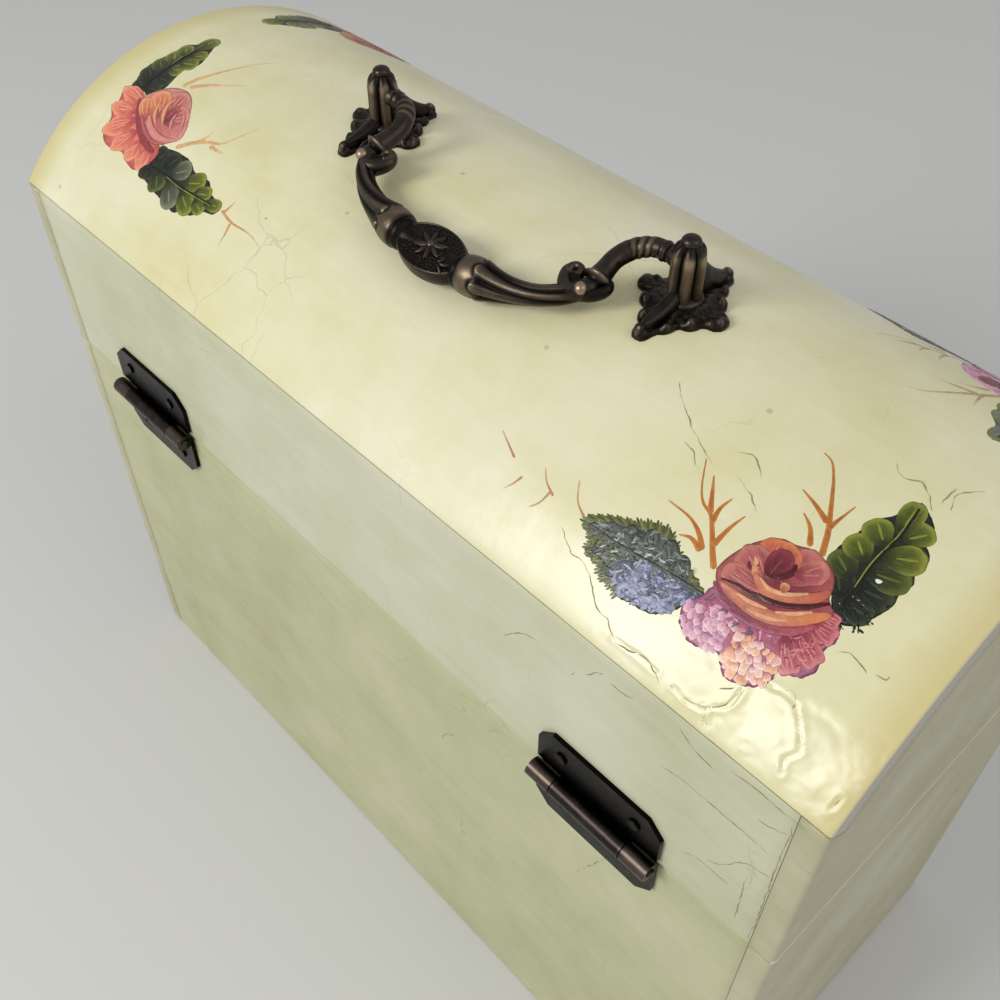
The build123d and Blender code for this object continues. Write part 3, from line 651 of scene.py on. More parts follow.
def make_board(name, body, block, bend, bare_sides, finish, wood):
    """A board from a block that bend shapes. Its bare sides face the inside of the box."""
    points, faces, sides, edge = block
    data = bpy.data.meshes.new(name + "_lacquered")
    data.from_pydata((bend(points) * MM).tolist(), [], faces.tolist())
    data.materials.append(finish)
    data.materials.append(wood)
    data.polygons.foreach_set("material_index", np.isin(sides, bare_sides).astype(np.int32))
    layer = data.attributes.new("wear", "FLOAT", "POINT")
    layer.data.foreach_set("value", edge.astype(np.float32))
    set_in_place(data, body, [name])


def board_top(y):
    """Height of the lid's end boards at a place across the box: under the dome board, then down its bevel."""
    y = np.abs(y)
    bevel = dome_centre + y * rise_slope
    under = dome_centre + np.sqrt(np.maximum(under_radius**2 - y**2, 0))
    return np.maximum(bevel, under)


def wall_depth(x, y, z):
    """How far the walls' lacquer lies under their flat face, in millimetres."""
    below_crease = blend_in(0.0, 9.0, crease - z)
    return below_crease * (0.08 * (rough(x, y, z, 28.0) + 1) + 0.02 * (rough(x, y, z + 50, 6.0) + 1))


def waviness(points, sides_axis):
    """A shared unevenness of the walls, inwards only, square to one axis."""
    moved = points.copy()
    moved[:, sides_axis] -= np.sign(points[:, sides_axis]) * wall_depth(*points.T)
    return moved


def flat_board(points, axis, outside):
    """Lets only the outer face of a wall board be uneven."""
    on_face = blend_in(outside - 2.0, outside - 0.2, np.abs(points[:, axis]))[:, None]
    return points + on_face * (waviness(points, axis) - points)


def dome_and_boards(wood, end_wood):
    # One cream lacquer on every board: the tones of the walls, rails and ends are darker than the dome's as
    # painted shade for the less light they get, most of all on the ends
    wall_finish_shaded = lacquer(
        "lacquer_cream_satin_walls_painted_shade", True, [(0.3, "#b0b085"), (0.5, "#babb92"), (0.7, "#c4c39f")]
    )
    rail_finish_shaded = lacquer(
        "lacquer_cream_satin_rails_painted_shade", True, [(0.3, "#bfbf9e"), (0.5, "#c8c8aa"), (0.7, "#d0cfb6")]
    )
    end_finish_shaded = lacquer(
        "lacquer_cream_satin_ends_painted_shade", True, [(0.3, "#aeaa86"), (0.5, "#b9b595"), (0.7, "#c3c0a6")]
    )
    dome_finish = lacquer(
        "lacquer_cream_gloss_dome", False, [(0.3, "#dcd5a2"), (0.5, "#e4dfb6"), (0.72, "#ece8ca")]
    )
    for name in ("box_front", "box_rear", "lid_front_rail", "lid_rear_rail"):
        low, high = node_box(name)
        rear, lid = low[1] > 0, name.startswith("lid")
        soft_low = [joint_soft, joint_soft if rear else outer_soft, seam_soft if lid else foot_soft]
        soft_high = [joint_soft, outer_soft if rear else joint_soft, joint_soft if lid else seam_soft]
        block = eased_block(low, high, soft_low, soft_high, (2.5, 3.0, 2.5))

        def bend(points, low=low, high=high, lid=lid):
            points = flat_board(points, 1, half_depth)
            if lid:
                share = (points[:, 2] - low[2]) / (high[2] - low[2])
                points[:, 2] = low[2] + share * (dome_centre + np.abs(points[:, 1]) * rise_slope - low[2])
            return points

        finish = rail_finish_shaded if lid else wall_finish_shaded
        make_board(name, "lid" if lid else "box", block, bend, [2 if rear else 3], finish, wood)
    for name in ("box_left_end", "box_right_end", "lid_left_end", "lid_right_end"):
        low, high = node_box(name)
        right, lid = low[0] > 0, name.startswith("lid")
        soft_low = [joint_soft if right else corner_soft, corner_soft, seam_soft if lid else foot_soft]
        soft_high = [corner_soft if right else joint_soft, corner_soft, joint_soft if lid else seam_soft]
        block = eased_block(low, high, soft_low, soft_high, (3.0, 2.0, 2.5))

        def bend(points, low=low, high=high, lid=lid):
            points = flat_board(points, 0, half_length)
            if lid:
                share = (points[:, 2] - low[2]) / (high[2] - low[2])
                points[:, 2] = low[2] + share * (board_top(points[:, 1]) - low[2])
            return points

        make_board(name, "lid" if lid else "box", block, bend, [0 if right else 1], end_finish_shaded, end_wood)
    # The dome board, as a flat block along the arc that is then bent. Its points lie closer near the
    # corner whose lacquer has wrinkled
    near_corner = {0: np.arange(-134, -62, 0.55), 1: np.arange(8, half_arc - 1, 0.6)}
    block = eased_block(
        (-half_length, -half_arc, -dome_board),
        (half_length, half_arc, 0),
        (corner_soft, 0.5, joint_soft),
        (corner_soft, 0.5, 0.35),
        (2.4, 1.9, 2.5),
        near_corner,
    )

    def bend_dome(points):
        x, arc, height = points.T
        near_face = blend_in(-1.2, -0.1, height) * blend_in(0, 1.5, half_length - np.abs(x))
        height = height + near_face * lacquer_height(x, arc)
        return on_arc(x, arc, height)

    make_board("lid_dome", "lid", block, bend_dome, [4], dome_finish, wood)


# Cracks: hairlines filled with old dirt, each drawn a little wider than it is

# On the dome, as places along the box and down the arc
dome_cracks = [
    [(-119, 2), (-116, 6), (-117, 10)], [(-104, 7), (-107, 9), (-110, 8), (-112, 9), (-115, 12)],
    [(-115, 10), (-115, 7), (-115, 5)], [(-72, 27), (-75, 28), (-77, 30)],
    [(-81, 23), (-84, 22), (-86, 23), (-88, 25)],
    [(-84, 27), (-89, 29), (-92, 31)], [(-80, 28), (-75, 26), (-65, 20), (-62, 17)],
    [(-118, 43), (-120, 42), (-124, 43)], [(-125, 42), (-127, 42), (-127, 41)],
    [
        (-63, 54), (-68, 57), (-71, 57), (-76, 60), (-78, 62), (-82, 63), (-85, 65), (-88, 65), (-92, 64),
        (-97, 66)
    ],
    [(-98, 65), (-101, 65), (-103, 65), (-106, 64), (-108, 62), (-109, 59), (-109, 57)],
    [(-106, 64), (-107, 66.5)], [(-106, 60), (-108, 58)], [(-115, 53), (-117, 53), (-118, 55)],
    [(-132.8, 61.5), (-132.2, 63), (-132, 64.7)],
]
# On the rear wall, as places along the box and up
wall_cracks = [
    [(-131, 194.4), (-126, 194), (-121, 194.3), (-115, 193.8)], [(-112, 190), (-107, 191), (-103, 194)],
    [(-128.5, 192), (-128.3, 178), (-128.7, 160), (-128.5, 145)], [(-129.5, 141), (-129.3, 135), (-130, 128)],
    [(-127, 179), (-107, 179), (-101, 178)], [(-128, 189), (-125, 187), (-122, 186)],
    [(-128, 172), (-125, 171), (-122, 169), (-120, 165), (-117, 161), (-115, 160)],
    [(-121, 158), (-117, 158), (-112, 157), (-110, 155)], [(-124, 168), (-124.2, 158), (-124.5, 148)],
    [(-93, 191), (-90, 190), (-87, 190)], [(-85, 191), (-83, 189), (-81, 186)], [(-78, 184), (-77, 182)],
    [(-68, 184), (-63, 182), (-58, 176)], [(-92, 125), (-88, 115), (-86, 110)],
    [(-40, 115), (-37, 112), (-35, 108)],
]


def crack_tree():
    """Geometry nodes that turn chains of edges into thin uneven ridges of dirt, fading at both ends."""
    tree, given = node_group("dirt_in_cracks", Width="NodeSocketFloat")
    curve = add(tree, "GeometryNodeMeshToCurve", {"Mesh": given["Geometry"]})
    share = add(tree, "GeometryNodeSplineParameter").outputs["Factor"]
    left = add(tree, "ShaderNodeMath", {0: 1.0, 1: share}, operation="SUBTRACT")
    swell = add(tree, "ShaderNodeMath", {0: share, 1: left}, operation="MULTIPLY")
    swell = add(tree, "ShaderNodeMath", {0: swell, 1: 0.35}, operation="POWER")
    here = add(tree, "GeometryNodeInputPosition")
    uneven = add(
        tree, "ShaderNodeTexNoise", {"Vector": here, "Scale": per_metre(3), "Detail": 2.0}
    ).outputs["Fac"]
    broken = add(tree, "ShaderNodeMapRange", {
        "Value": uneven, "From Min": 0.38, "From Max": 0.6, "To Min": 0.12, "To Max": 0.7
    })
    width = add(tree, "ShaderNodeMath", {0: swell, 1: broken}, operation="MULTIPLY")
    width = add(tree, "ShaderNodeMath", {0: width, 1: given["Width"]}, operation="MULTIPLY")
    ring = add(tree, "GeometryNodeCurvePrimitiveCircle", {"Resolution": 5, "Radius": 1.0})
    solid = add(tree, "GeometryNodeCurveToMesh", {
        "Curve": curve, "Profile Curve": ring, "Scale": width, "Fill Caps": True
    })
    return close_group(tree, given, solid)


def dirt():
    """Old dirt and darkened oil in the cracks: olive-brown and dull."""
    material, tree, shader, place = new_material("dirt_in_lacquer_cracks")
    clouds = add(
        tree, "ShaderNodeTexNoise", {"Vector": place, "Scale": per_metre(2), "Detail": 3.0}
    ).outputs["Fac"]
    tones = [(0.3, "#aaa47a"), (0.5, "#938e65"), (0.7, "#7a754f")]
    colour = add(tree, "ShaderNodeValToRGB", {"Fac": clouds}, tones)
    feed(tree, shader, {"Base Color": colour, "Roughness": 0.65})
    return material


def wandering(line, spacing=0.5, stray=0.35):
    """A chain of straight runs as close places that wander like a real crack."""
    path = smooth_path(line, spacing)
    x, y = path.T
    return path + stray * np.stack([rough(x, y, 0 * x + 11, 1.6), rough(x, y, 0 * x + 17, 1.6)], 1)


def draw_cracks(name, body, width, points_of, lines, tree, material):
    """Makes one piece of all the lines that points_of lays on one surface."""
    points, edges = [], []
    for line in lines:
        chain = points_of(wandering(line))
        edges += [(len(points) + i, len(points) + i + 1) for i in range(len(chain) - 1)]
        points += chain.tolist()
    data = grown(loose_object(name + "_lines", points, edges, []), tree, Finish=material, Width=width * MM)
    shells = Shells()
    mesh_shell(shells, data, 0, 0.5)
    bpy.data.meshes.remove(data)
    shells.piece(name, material, body, "cream_lacquer")


def cracks():
    tree, material = crack_tree(), dirt()

    def on_rear_wall(line):
        x, z = line.T
        y = np.full(len(x), half_depth)
        return np.stack([x, y - wall_depth(x, y, z), z], 1)

    def on_front_wall(line):
        x, z = line.T
        y = np.full(len(x), -half_depth)
        return np.stack([-x, y + wall_depth(-x, y, z), z], 1)

    draw_cracks("cracks_dome", "lid", 0.36, lambda line: on_lacquer(*line.T), dome_cracks, tree, material)
    for body, low, high in (("lid", seam, crease), ("box", 0, seam)):
        lines = [line for line in wall_cracks if low < line[0][1] < high]
        draw_cracks(f"cracks_rear_{body}", body, 0.34, on_rear_wall, lines, tree, material)
        draw_cracks(f"cracks_front_{body}", body, 0.3, on_front_wall, lines, tree, material)


# Painted sprays: strokes and washes of thick oil colour that lie on the lacquer


def shade(hex_colour):
    return np.array(linear(hex_colour)[:3])


def inside(points, outline):
    """Which points lie inside an outline."""
    x, y = np.asarray(points, float).T
    hit = np.zeros(len(x), bool)
    for (ax, ay), (bx, by) in zip(outline, outline[1:] + outline[:1]):
        crosses = (ay > y) != (by > y)
        hit ^= crosses & (x < (bx - ax) * (y - ay) / (by - ay if by != ay else 1e-9) + ax)
    return hit


class Paint:
    """One painted spray, stroke over stroke. way is 1 on the rear slope, and -1 mirrors it to the front."""

    # A grid over half the dome that keeps how thick the paint already lies, in cells of this size
    cell = 0.4
    grid_start = (140, 72)
    grid_shape = (700, 360)
    # How deep the closed underside of a skin lies in the lacquer
    sunk = -0.1

    def __init__(self, way=1, shift=(0, 0), seed=1):
        self.way, self.shift, self.chance = way, np.array(shift, float), np.random.RandomState(seed)
        self.points, self.faces, self.colours, self.count = [], [], [], 0
        self.thick = np.zeros(self.grid_shape)

    def cells(self, places):
        """Rows and columns of the grid that places lie in, away from its border."""
        at = np.round((np.asarray(places) + self.grid_start) / self.cell).astype(int)
        return np.clip(at[..., 0], 1, self.grid_shape[0] - 2), np.clip(at[..., 1], 1, self.grid_shape[1] - 2)

    def lay(self, places, heights, colours, outline):
        """Adds a closed skin from rings of places (along, arc), heights over what lies below, and colours."""
        count, sides = heights.shape
        flat = np.concatenate([places.reshape(-1, 2), [places[0].mean(0), places[-1].mean(0)]])
        lift = np.concatenate([heights.reshape(-1), [heights[0].mean(), heights[-1].mean()]])
        tint = np.concatenate([colours.reshape(-1, 3), [colours[0].mean(0), colours[-1].mean(0)]])
        row, column = self.cells(flat)
        below = np.max([self.thick[row + i, column + j] for i in (-1, 0, 1) for j in (-1, 0, 1)], axis=0)
        lift = np.where(lift > self.sunk / 2, lift + below, lift)
        faces = [tuple(face) for face in (grid_faces(count, sides, True) + self.count).tolist()]
        first, last = count * sides + self.count, count * sides + 1 + self.count
        for side in range(sides):
            after = (side + 1) % sides
            faces.append((first, self.count + after, self.count + side))
            faces.append((last, last - 1 - sides + side, last - 1 - sides + after))
        moved = flat + self.shift
        self.points.append(on_lacquer(moved[:, 0], moved[:, 1] * self.way, lift))
        self.faces += faces
        self.colours.append(tint)
        self.count += len(flat)
        spans = [np.arange(low, high + 1) for low, high in self.cells([outline.min(0), outline.max(0)])]
        grid = np.stack(np.meshgrid(*spans, indexing="ij"), -1).reshape(-1, 2)
        grid = grid[inside(grid * self.cell - self.grid_start, [tuple(p) for p in outline])]
        self.thick[grid[:, 0], grid[:, 1]] += heights.max()

    def mottled(self, colours, places, amount):
        """Uneven paint: lighter and darker along the hairs of the brush."""
        tone = rough(places[..., 0], places[..., 1], 0 * places[..., 0] + self.count * 0.1, 1.1)
        return np.clip(colours * (1 + amount * tone[..., None]), 0, 1)

    def stroke(self, spine, widths, edge, middle, end=None, body=0.04, uneven=0.25):
        """One brush stroke with half widths along its spine, and an edge, a middle and an end colour."""
        spine = np.asarray(spine, float)
        widths = np.interp(np.linspace(0, 1, len(spine)), np.linspace(0, 1, len(widths)), widths)
        path = smooth_path(np.column_stack([spine, widths]), max(0.3, min(0.7, widths.max() * 0.55)))
        heading = np.gradient(path[:, :2], axis=0)
        heading /= np.maximum(np.linalg.norm(heading, axis=1), 1e-9)[:, None]
        run = np.concatenate([[0], np.cumsum(np.linalg.norm(np.diff(path[:, :2], axis=0), axis=1))])
        width = np.maximum(path[:, 2], 0.05)
        for gone in (run, run[-1] - run):
            width = width * np.sqrt(1 - np.clip(1 - gone / (0.9 * width), 0, 0.97) ** 2)
        # The stroke's section: over its top from edge to edge, and back below
        across = np.array([-1.0, -0.75, -0.35, 0.0, 0.35, 0.75, 1.0, 0.6, -0.6])
        high = np.array([0.0, 0.7, 0.95, 1.0, 0.95, 0.7, 0.0, -3.0, -3.0]) * body
        sideways = np.stack([-heading[:, 1], heading[:, 0]], 1)
        places = path[:, None, :2] + (width[:, None] * across)[..., None] * sideways[:, None]
        share = (run / run[-1])[:, None, None]
        outwards = np.abs(across)[None, :, None] ** 1.6
        colours = shade(middle) + outwards * (shade(edge) - shade(middle))
        if end:
            colours = colours + blend_in(0.35, 1.0, share) * (shade(end) - colours)
        colours = np.broadcast_to(colours, places.shape[:2] + (3,))
        outline = np.concatenate([places[:, 0], places[::-1, 6]])
        high = np.where(high < 0, self.sunk, high)
        self.lay(
            places, np.broadcast_to(high, places.shape[:2]), self.mottled(colours, places, uneven), outline
        )

    def fill(self, loop, centre, colouring, body=0.04, uneven=0.25):
        """Paints inside a loop that is seen whole from its centre. colouring takes shares of the way out."""
        # Rings from the centre out to the loop, and back below
        shares = np.array([0.04, 0.25, 0.45, 0.62, 0.76, 0.86, 0.94, 1.0, 0.97, 0.04])
        high = np.array([1, 1, 1, 0.98, 0.95, 0.88, 0.6, 0.0, -3, -3]) * body
        places = centre + shares[:, None, None] * (loop - centre)[None]
        colours = colouring(np.minimum(shares, 1)[:, None, None], places)
        colours = np.broadcast_to(colours, places.shape[:2] + (3,))
        high = np.where(high < 0, self.sunk, high)
        heights = np.broadcast_to(high[:, None], places.shape[:2])
        self.lay(places, heights, self.mottled(colours, places, uneven), loop)

    def wash(self, outline, centre, edge, middle, ragged=0.0, body=0.04):
        """A flat patch of colour with a smooth or ragged outline."""
        loop = smooth_path(np.asarray(outline + outline[:1], float), 0.4)[:-1]
        centre = np.asarray(centre, float)
        if ragged:
            swell = 1 + ragged * rough(loop[:, 0], loop[:, 1], 0 * loop[:, 0] + 3, 0.8)
            loop = centre + (loop - centre) * swell[:, None]

        def colouring(share, places):
            return shade(middle) + share**3 * (shade(edge) - shade(middle))

        self.fill(loop, centre, colouring, body)

    def petal(self, root, tip, half, tones, hairs=3, scallops=0, body=0.045):
        """A petal or a leaf's lobe from root to tip, in rim, flesh and heart colours, with brush hairs."""
        rim, flesh, heart = (shade(tone) for tone in tones)
        root, tip = np.asarray(root, float), np.asarray(tip, float)
        along = tip - root
        length = np.hypot(*along)
        across = np.array([-along[1], along[0]]) / length
        turn = np.linspace(0, 2 * math.pi, max(14, int(5 * (length + half))), endpoint=False)
        reach = 0.5 - 0.5 * np.cos(turn)
        wave = 1 + 0.05 * np.cos(scallops * turn) * blend_in(0.4, 0.9, reach) * bool(scallops)
        side = np.sin(turn) * half * (0.7 + 0.45 * reach)
        loop = root + (reach * wave)[:, None] * along + (side * wave)[:, None] * across
        uneven = rough(loop[:, 0], loop[:, 1], 0 * turn + self.count * 0.37, 1.4)[:, None]
        loop = loop + 0.035 * length * uneven * along / length

        def colouring(share, places):
            gone = np.clip(np.linalg.norm(places - root, axis=-1) / length, 0, 1)[..., None]
            colour = heart + blend_in(0.05, 0.65, gone) * (flesh - heart)
            lit = blend_in(0.66, 1.0, share) * blend_in(0.25, 0.8, reach)[None, :, None]
            return colour + lit * (rim - colour)

        self.fill(loop, root + 0.15 * along, colouring, body)
        for number in range(hairs):
            lean = half * (1.3 * (number + 0.5 + 0.5 * self.chance.rand()) / hairs - 0.8)
            start = root + (0.15 + 0.2 * self.chance.rand()) * along + 0.35 * lean * across
            end = root + (0.72 + 0.14 * self.chance.rand()) * along + lean * across
            bow = (start + end) / 2 + 0.12 * lean * across
            near, far = (tones[1], tones[0]) if number % 2 else (tones[2], tones[1])
            thick = min(0.09 * half + 0.05, 0.3)
            self.stroke([start, bow, end], [thick * 0.5, thick, thick * 0.3], near, far, far, body=0.015)

    def dabs(self, outline, count, length, width, turn, colours, spread=25):
        """Short strokes scattered inside an outline, mostly along one direction in degrees."""
        low, high = np.min(outline, axis=0), np.max(outline, axis=0)
        spots = low + self.chance.rand(count * 4, 2) * (high - low)
        spots = spots[inside(spots, [tuple(p) for p in outline])][:count]
        for spot in spots:
            angle = math.radians(turn + spread * self.chance.randn())
            reach = length * (0.5 + self.chance.rand()) / 2
            step = np.array([math.cos(angle), math.sin(angle)]) * reach
            bow = np.array([-step[1], step[0]]) * 0.25 * self.chance.randn()
            colour = colours[self.chance.randint(len(colours))]
            thick = width * (0.6 + 0.8 * self.chance.rand())
            self.stroke(
                [spot - step, spot + bow, spot + step],
                [thick, thick, thick * 0.4], colour, colour, body=0.012
            )

    def ruffle(self, outline, root, spacing, tones, hairs=0):
        """Small frilled petals in rows like scales, from the outside in towards their root."""
        root = np.asarray(root, float)
        low, high = np.min(outline, axis=0), np.max(outline, axis=0)
        places = [
            (x, y) for x in np.arange(low[0], high[0], spacing) for y in np.arange(low[1], high[1], spacing)
        ]
        places = np.array(places) + spacing * 0.7 * (self.chance.rand(len(places), 2) - 0.5)
        places = places[inside(places, [tuple(p) for p in outline])]
        for spot in sorted(places.tolist(), key=lambda spot: -np.hypot(*(np.array(spot) - root))):
            way = np.array(spot) - root
            way = way / np.hypot(*way) + 0.35 * self.chance.randn(2)
            size = spacing * (1.0 + 0.45 * self.chance.rand())
            pick = tones[self.chance.randint(len(tones))]
            self.petal(
                spot - 0.6 * size * way,
                spot + 0.6 * size * way, size * 0.56, pick, hairs, scallops=5, body=0.02
            )

    def piece(self, name, material):
        data = bpy.data.meshes.new(name)
        data.from_pydata((np.concatenate(self.points) * MM).tolist(), [], self.faces)
        data.materials.append(material)
        layer = data.color_attributes.new("paint", "FLOAT_COLOR", "POINT")
        tint = np.concatenate(self.colours)
        layer.data.foreach_set(
            "color", np.column_stack([tint, np.ones(len(tint))]).astype(np.float32).ravel()
        )
        set_in_place(data, "lid")


def twig(paint, lines, tones, thick=0.62):
    """A bare twig: each line runs from its root to its tip."""
    for line in lines:
        paint.stroke(line, [thick, thick * 0.75, thick * 0.45, 0.14], *tones, body=0.03)


def lobed_leaf(paint, outline, centre, ground, lobes, greens, midrib):
    """A leaf of lobes (root, tip, half width, which green) and a midrib, dark with a light side."""
    paint.wash(outline, centre, ground, ground, ragged=0.02)
    for root, tip, half, which in lobes:
        paint.petal(root, tip, half * 1.22, greens[which], hairs=3)
    paint.stroke(midrib, [0.3, 0.4, 0.2], greens[0][2], greens[0][2])
    beside = np.asarray(midrib)[1:] + 0.3
    paint.stroke(beside, [0.1, 0.14, 0.08], greens[2][0], greens[2][0], body=0.02)


def rear_left_twigs(paint, tones):
    twig(paint, [
        [
            (-106.0, 31.0), (-104.0, 26.5), (-102.5, 24.0), (-100.0, 20.0), (-98.0, 17.0), (-95.5, 14.2),
            (-93.3, 13.5)
        ],
        [(-103.6, 26.0), (-103.9, 24.0), (-104.6, 19.5)],
        [(-102.9, 25.2), (-99.0, 23.5), (-95.3, 22.3)],
        [(-103.3, 30.6), (-101.0, 27.6), (-98.4, 26.0)],
        [
            (-92.5, 43.8), (-90.0, 41.0), (-87.5, 38.0), (-85.5, 36.0), (-83.0, 35.0), (-81.0, 33.0),
            (-77.6, 27.6)
        ],
        [(-89.6, 40.6), (-90.0, 36.0), (-90.8, 32.6)],
        [(-86.7, 37.2), (-86.2, 34.0), (-86.8, 31.2)],
        [(-85.4, 36.0), (-83.0, 32.4), (-81.0, 29.5)],
        [(-88.6, 42.2), (-86.0, 40.0), (-83.0, 38.7), (-77.5, 38.3)],
        [(-88.4, 42.6), (-85.5, 41.6), (-83.2, 42.4)],
    ], tones)


def rear_left_leaf(paint, greens):
    outline = [
        (-112.6, 11.6), (-115.5, 13.2), (-117.4, 15.2), (-116.8, 17.6), (-119.0, 19.2), (-120.3, 21.2),
        (-119.6, 23.5), (-120.8, 25.9), (-120.2, 28.4), (-120.5, 31.0), (-119.6, 34.4), (-117.0, 38.4),
        (-114.2, 38.6), (-111.5, 35.5), (-108.4, 31.0), (-107.0, 28.2), (-107.6, 25.5), (-108.2, 22.0),
        (-108.6, 19.6), (-110.6, 17.0), (-111.4, 13.5),
    ]
    lobed_leaf(paint, outline, (-113.8, 26.0), greens[0][1], [
        ((-113.6, 35.2), (-119.4, 35.0), 2.3, 0), ((-113.0, 35.0), (-109.2, 31.0), 2.5, 0),
        ((-113.6, 32.0), (-120.4, 30.8), 2.5, 0), ((-112.5, 31.4), (-107.2, 28.4), 2.3, 1),
        ((-113.3, 28.6), (-120.7, 26.0), 2.7, 1), ((-112.3, 27.4), (-107.5, 24.2), 2.3, 2),
        ((-114.0, 24.8), (-120.3, 21.2), 2.6, 2), ((-112.9, 23.0), (-108.4, 19.7), 2.4, 2),
        ((-114.6, 20.0), (-117.6, 15.2), 2.2, 2), ((-113.3, 19.4), (-112.6, 11.8), 2.0, 2),
    ], greens, [(-114.4, 37.0), (-114.0, 32.0), (-113.5, 26.5), (-113.8, 19.5), (-113.0, 13.0)])
    base = [(-120.5, 31.0), (-118.0, 33.0), (-113.0, 37.0), (-112.0, 39.5), (-116.0, 40.5), (-119.5, 37.5)]
    paint.dabs(base, 60, 0.7, 0.18, 70, [greens[0][2], greens[0][1]], 60)
    # A painted reflection: a white fleck on a lobe that stands for the varnish's gloss catching the light
    paint.stroke(
        [(-116.7, 28.6), (-116.1, 29.0), (-115.5, 28.9)], [0.2, 0.42, 0.2], "#dfe5da", "#f3f5f0", body=0.05
    )
    paint.dabs(
        [(-117.5, 33), (-113.5, 33), (-113.5, 36), (-117.5, 36)], 4, 0.5, 0.12, 10, ["#aeb3a8", "#8b9187"]
    )


def ragged_leaf(paint, olive, grey, blue):
    """The leaf beside the rose, dabbed in blue and grey with toothed olive edges."""
    outline = [
        (-95.3, 48.4), (-93.3, 48.0), (-90.5, 46.8), (-86.8, 45.6), (-84.1, 43.8), (-81.1, 42.6),
        (-77.2, 43.8), (-74.7, 45.3), (-70.4, 47.2), (-66.6, 50.0), (-66.8, 51.0), (-69.4, 52.2),
        (-70.6, 54.8), (-73.8, 55.5), (-75.7, 57.0), (-78.5, 57.4), (-80.5, 58.2), (-84.5, 57.6),
        (-87.8, 57.0), (-90.5, 55.0), (-92.0, 52.5), (-94.0, 50.5),
    ]
    centre = np.array([-82.0, 50.5])
    paint.wash(outline, centre, olive[2], grey[0], ragged=0.05)
    # Teeth along the edge
    for number, foot in enumerate(smooth_path(outline[1:17], 0.62)):
        way = (foot - centre) / np.linalg.norm(foot - centre)
        tooth = foot + way * (0.7 + 0.35 * math.sin(2.1 * number)) + np.array([0.25, 0.2])
        colour, beside = olive[number % 3], olive[(number + 1) % 3]
        paint.stroke([foot - way * 1.6, tooth], [0.42, 0.2], colour, beside, body=0.025)
    for root, tip, half in (
        ((-89.5, 48.4), (-86.2, 45.0), 1.5), ((-86.0, 48.6), (-82.6, 43.9), 1.7),
        ((-82.0, 49.2), (-78.4, 44.4), 1.8), ((-78.2, 49.6), (-74.4, 46.0), 1.6),
        ((-74.6, 50.0), (-70.6, 48.0), 1.4), ((-75.6, 50.6), (-71.2, 54.2), 1.6),
        ((-79.2, 50.4), (-76.0, 56.2), 1.7), ((-71.8, 50.6), (-67.8, 50.6), 1.1),
    ):
        paint.petal(root, tip, half, (grey[4], grey[0], olive[3]), hairs=4)
    paint.dabs(
        [(-91, 46.5), (-84, 44.2), (-77, 44.6), (-69.5, 49.0), (-71, 53.5), (-77, 52), (-88, 49.5)],
        110, 1.9, 0.2, 30, grey, 35
    )
    paint.dabs(
        [(-77, 51.5), (-67.6, 50.4), (-70.4, 54.4), (-74.5, 56.3), (-78, 56.8)],
        30, 1.8, 0.22, 60, olive, 30
    )
    low_side = [
        (-94.5, 48.9), (-89, 48.8), (-81, 50.4), (-76.6, 54), (-78.6, 57), (-84, 57.3), (-88.6, 56),
        (-92.3, 51.8)
    ]
    paint.dabs(low_side, 240, 1.7, 0.3, 40, blue, 40)
    paint.dabs(
        [(-92, 53.5), (-87, 54), (-80, 55.6), (-79.6, 57.6), (-84.5, 57.4), (-89.5, 55.6)],
        46, 1.9, 0.4, 25, blue[:2] + blue[4:5], 25
    )
    paint.stroke(
        [(-94, 48.5), (-87, 49.0), (-79, 49.9), (-73, 50.4), (-67.5, 50.5)],
        [0.3, 0.32, 0.25, 0.1], olive[3], grey[4]
    )
    paint.dabs(
        [(-90, 47), (-74, 46), (-72, 54), (-86, 56)],
        40, 1.3, 0.11, 40, ["#b9bdba", "#a7aba6", "#cfd2cf"], 40
    )


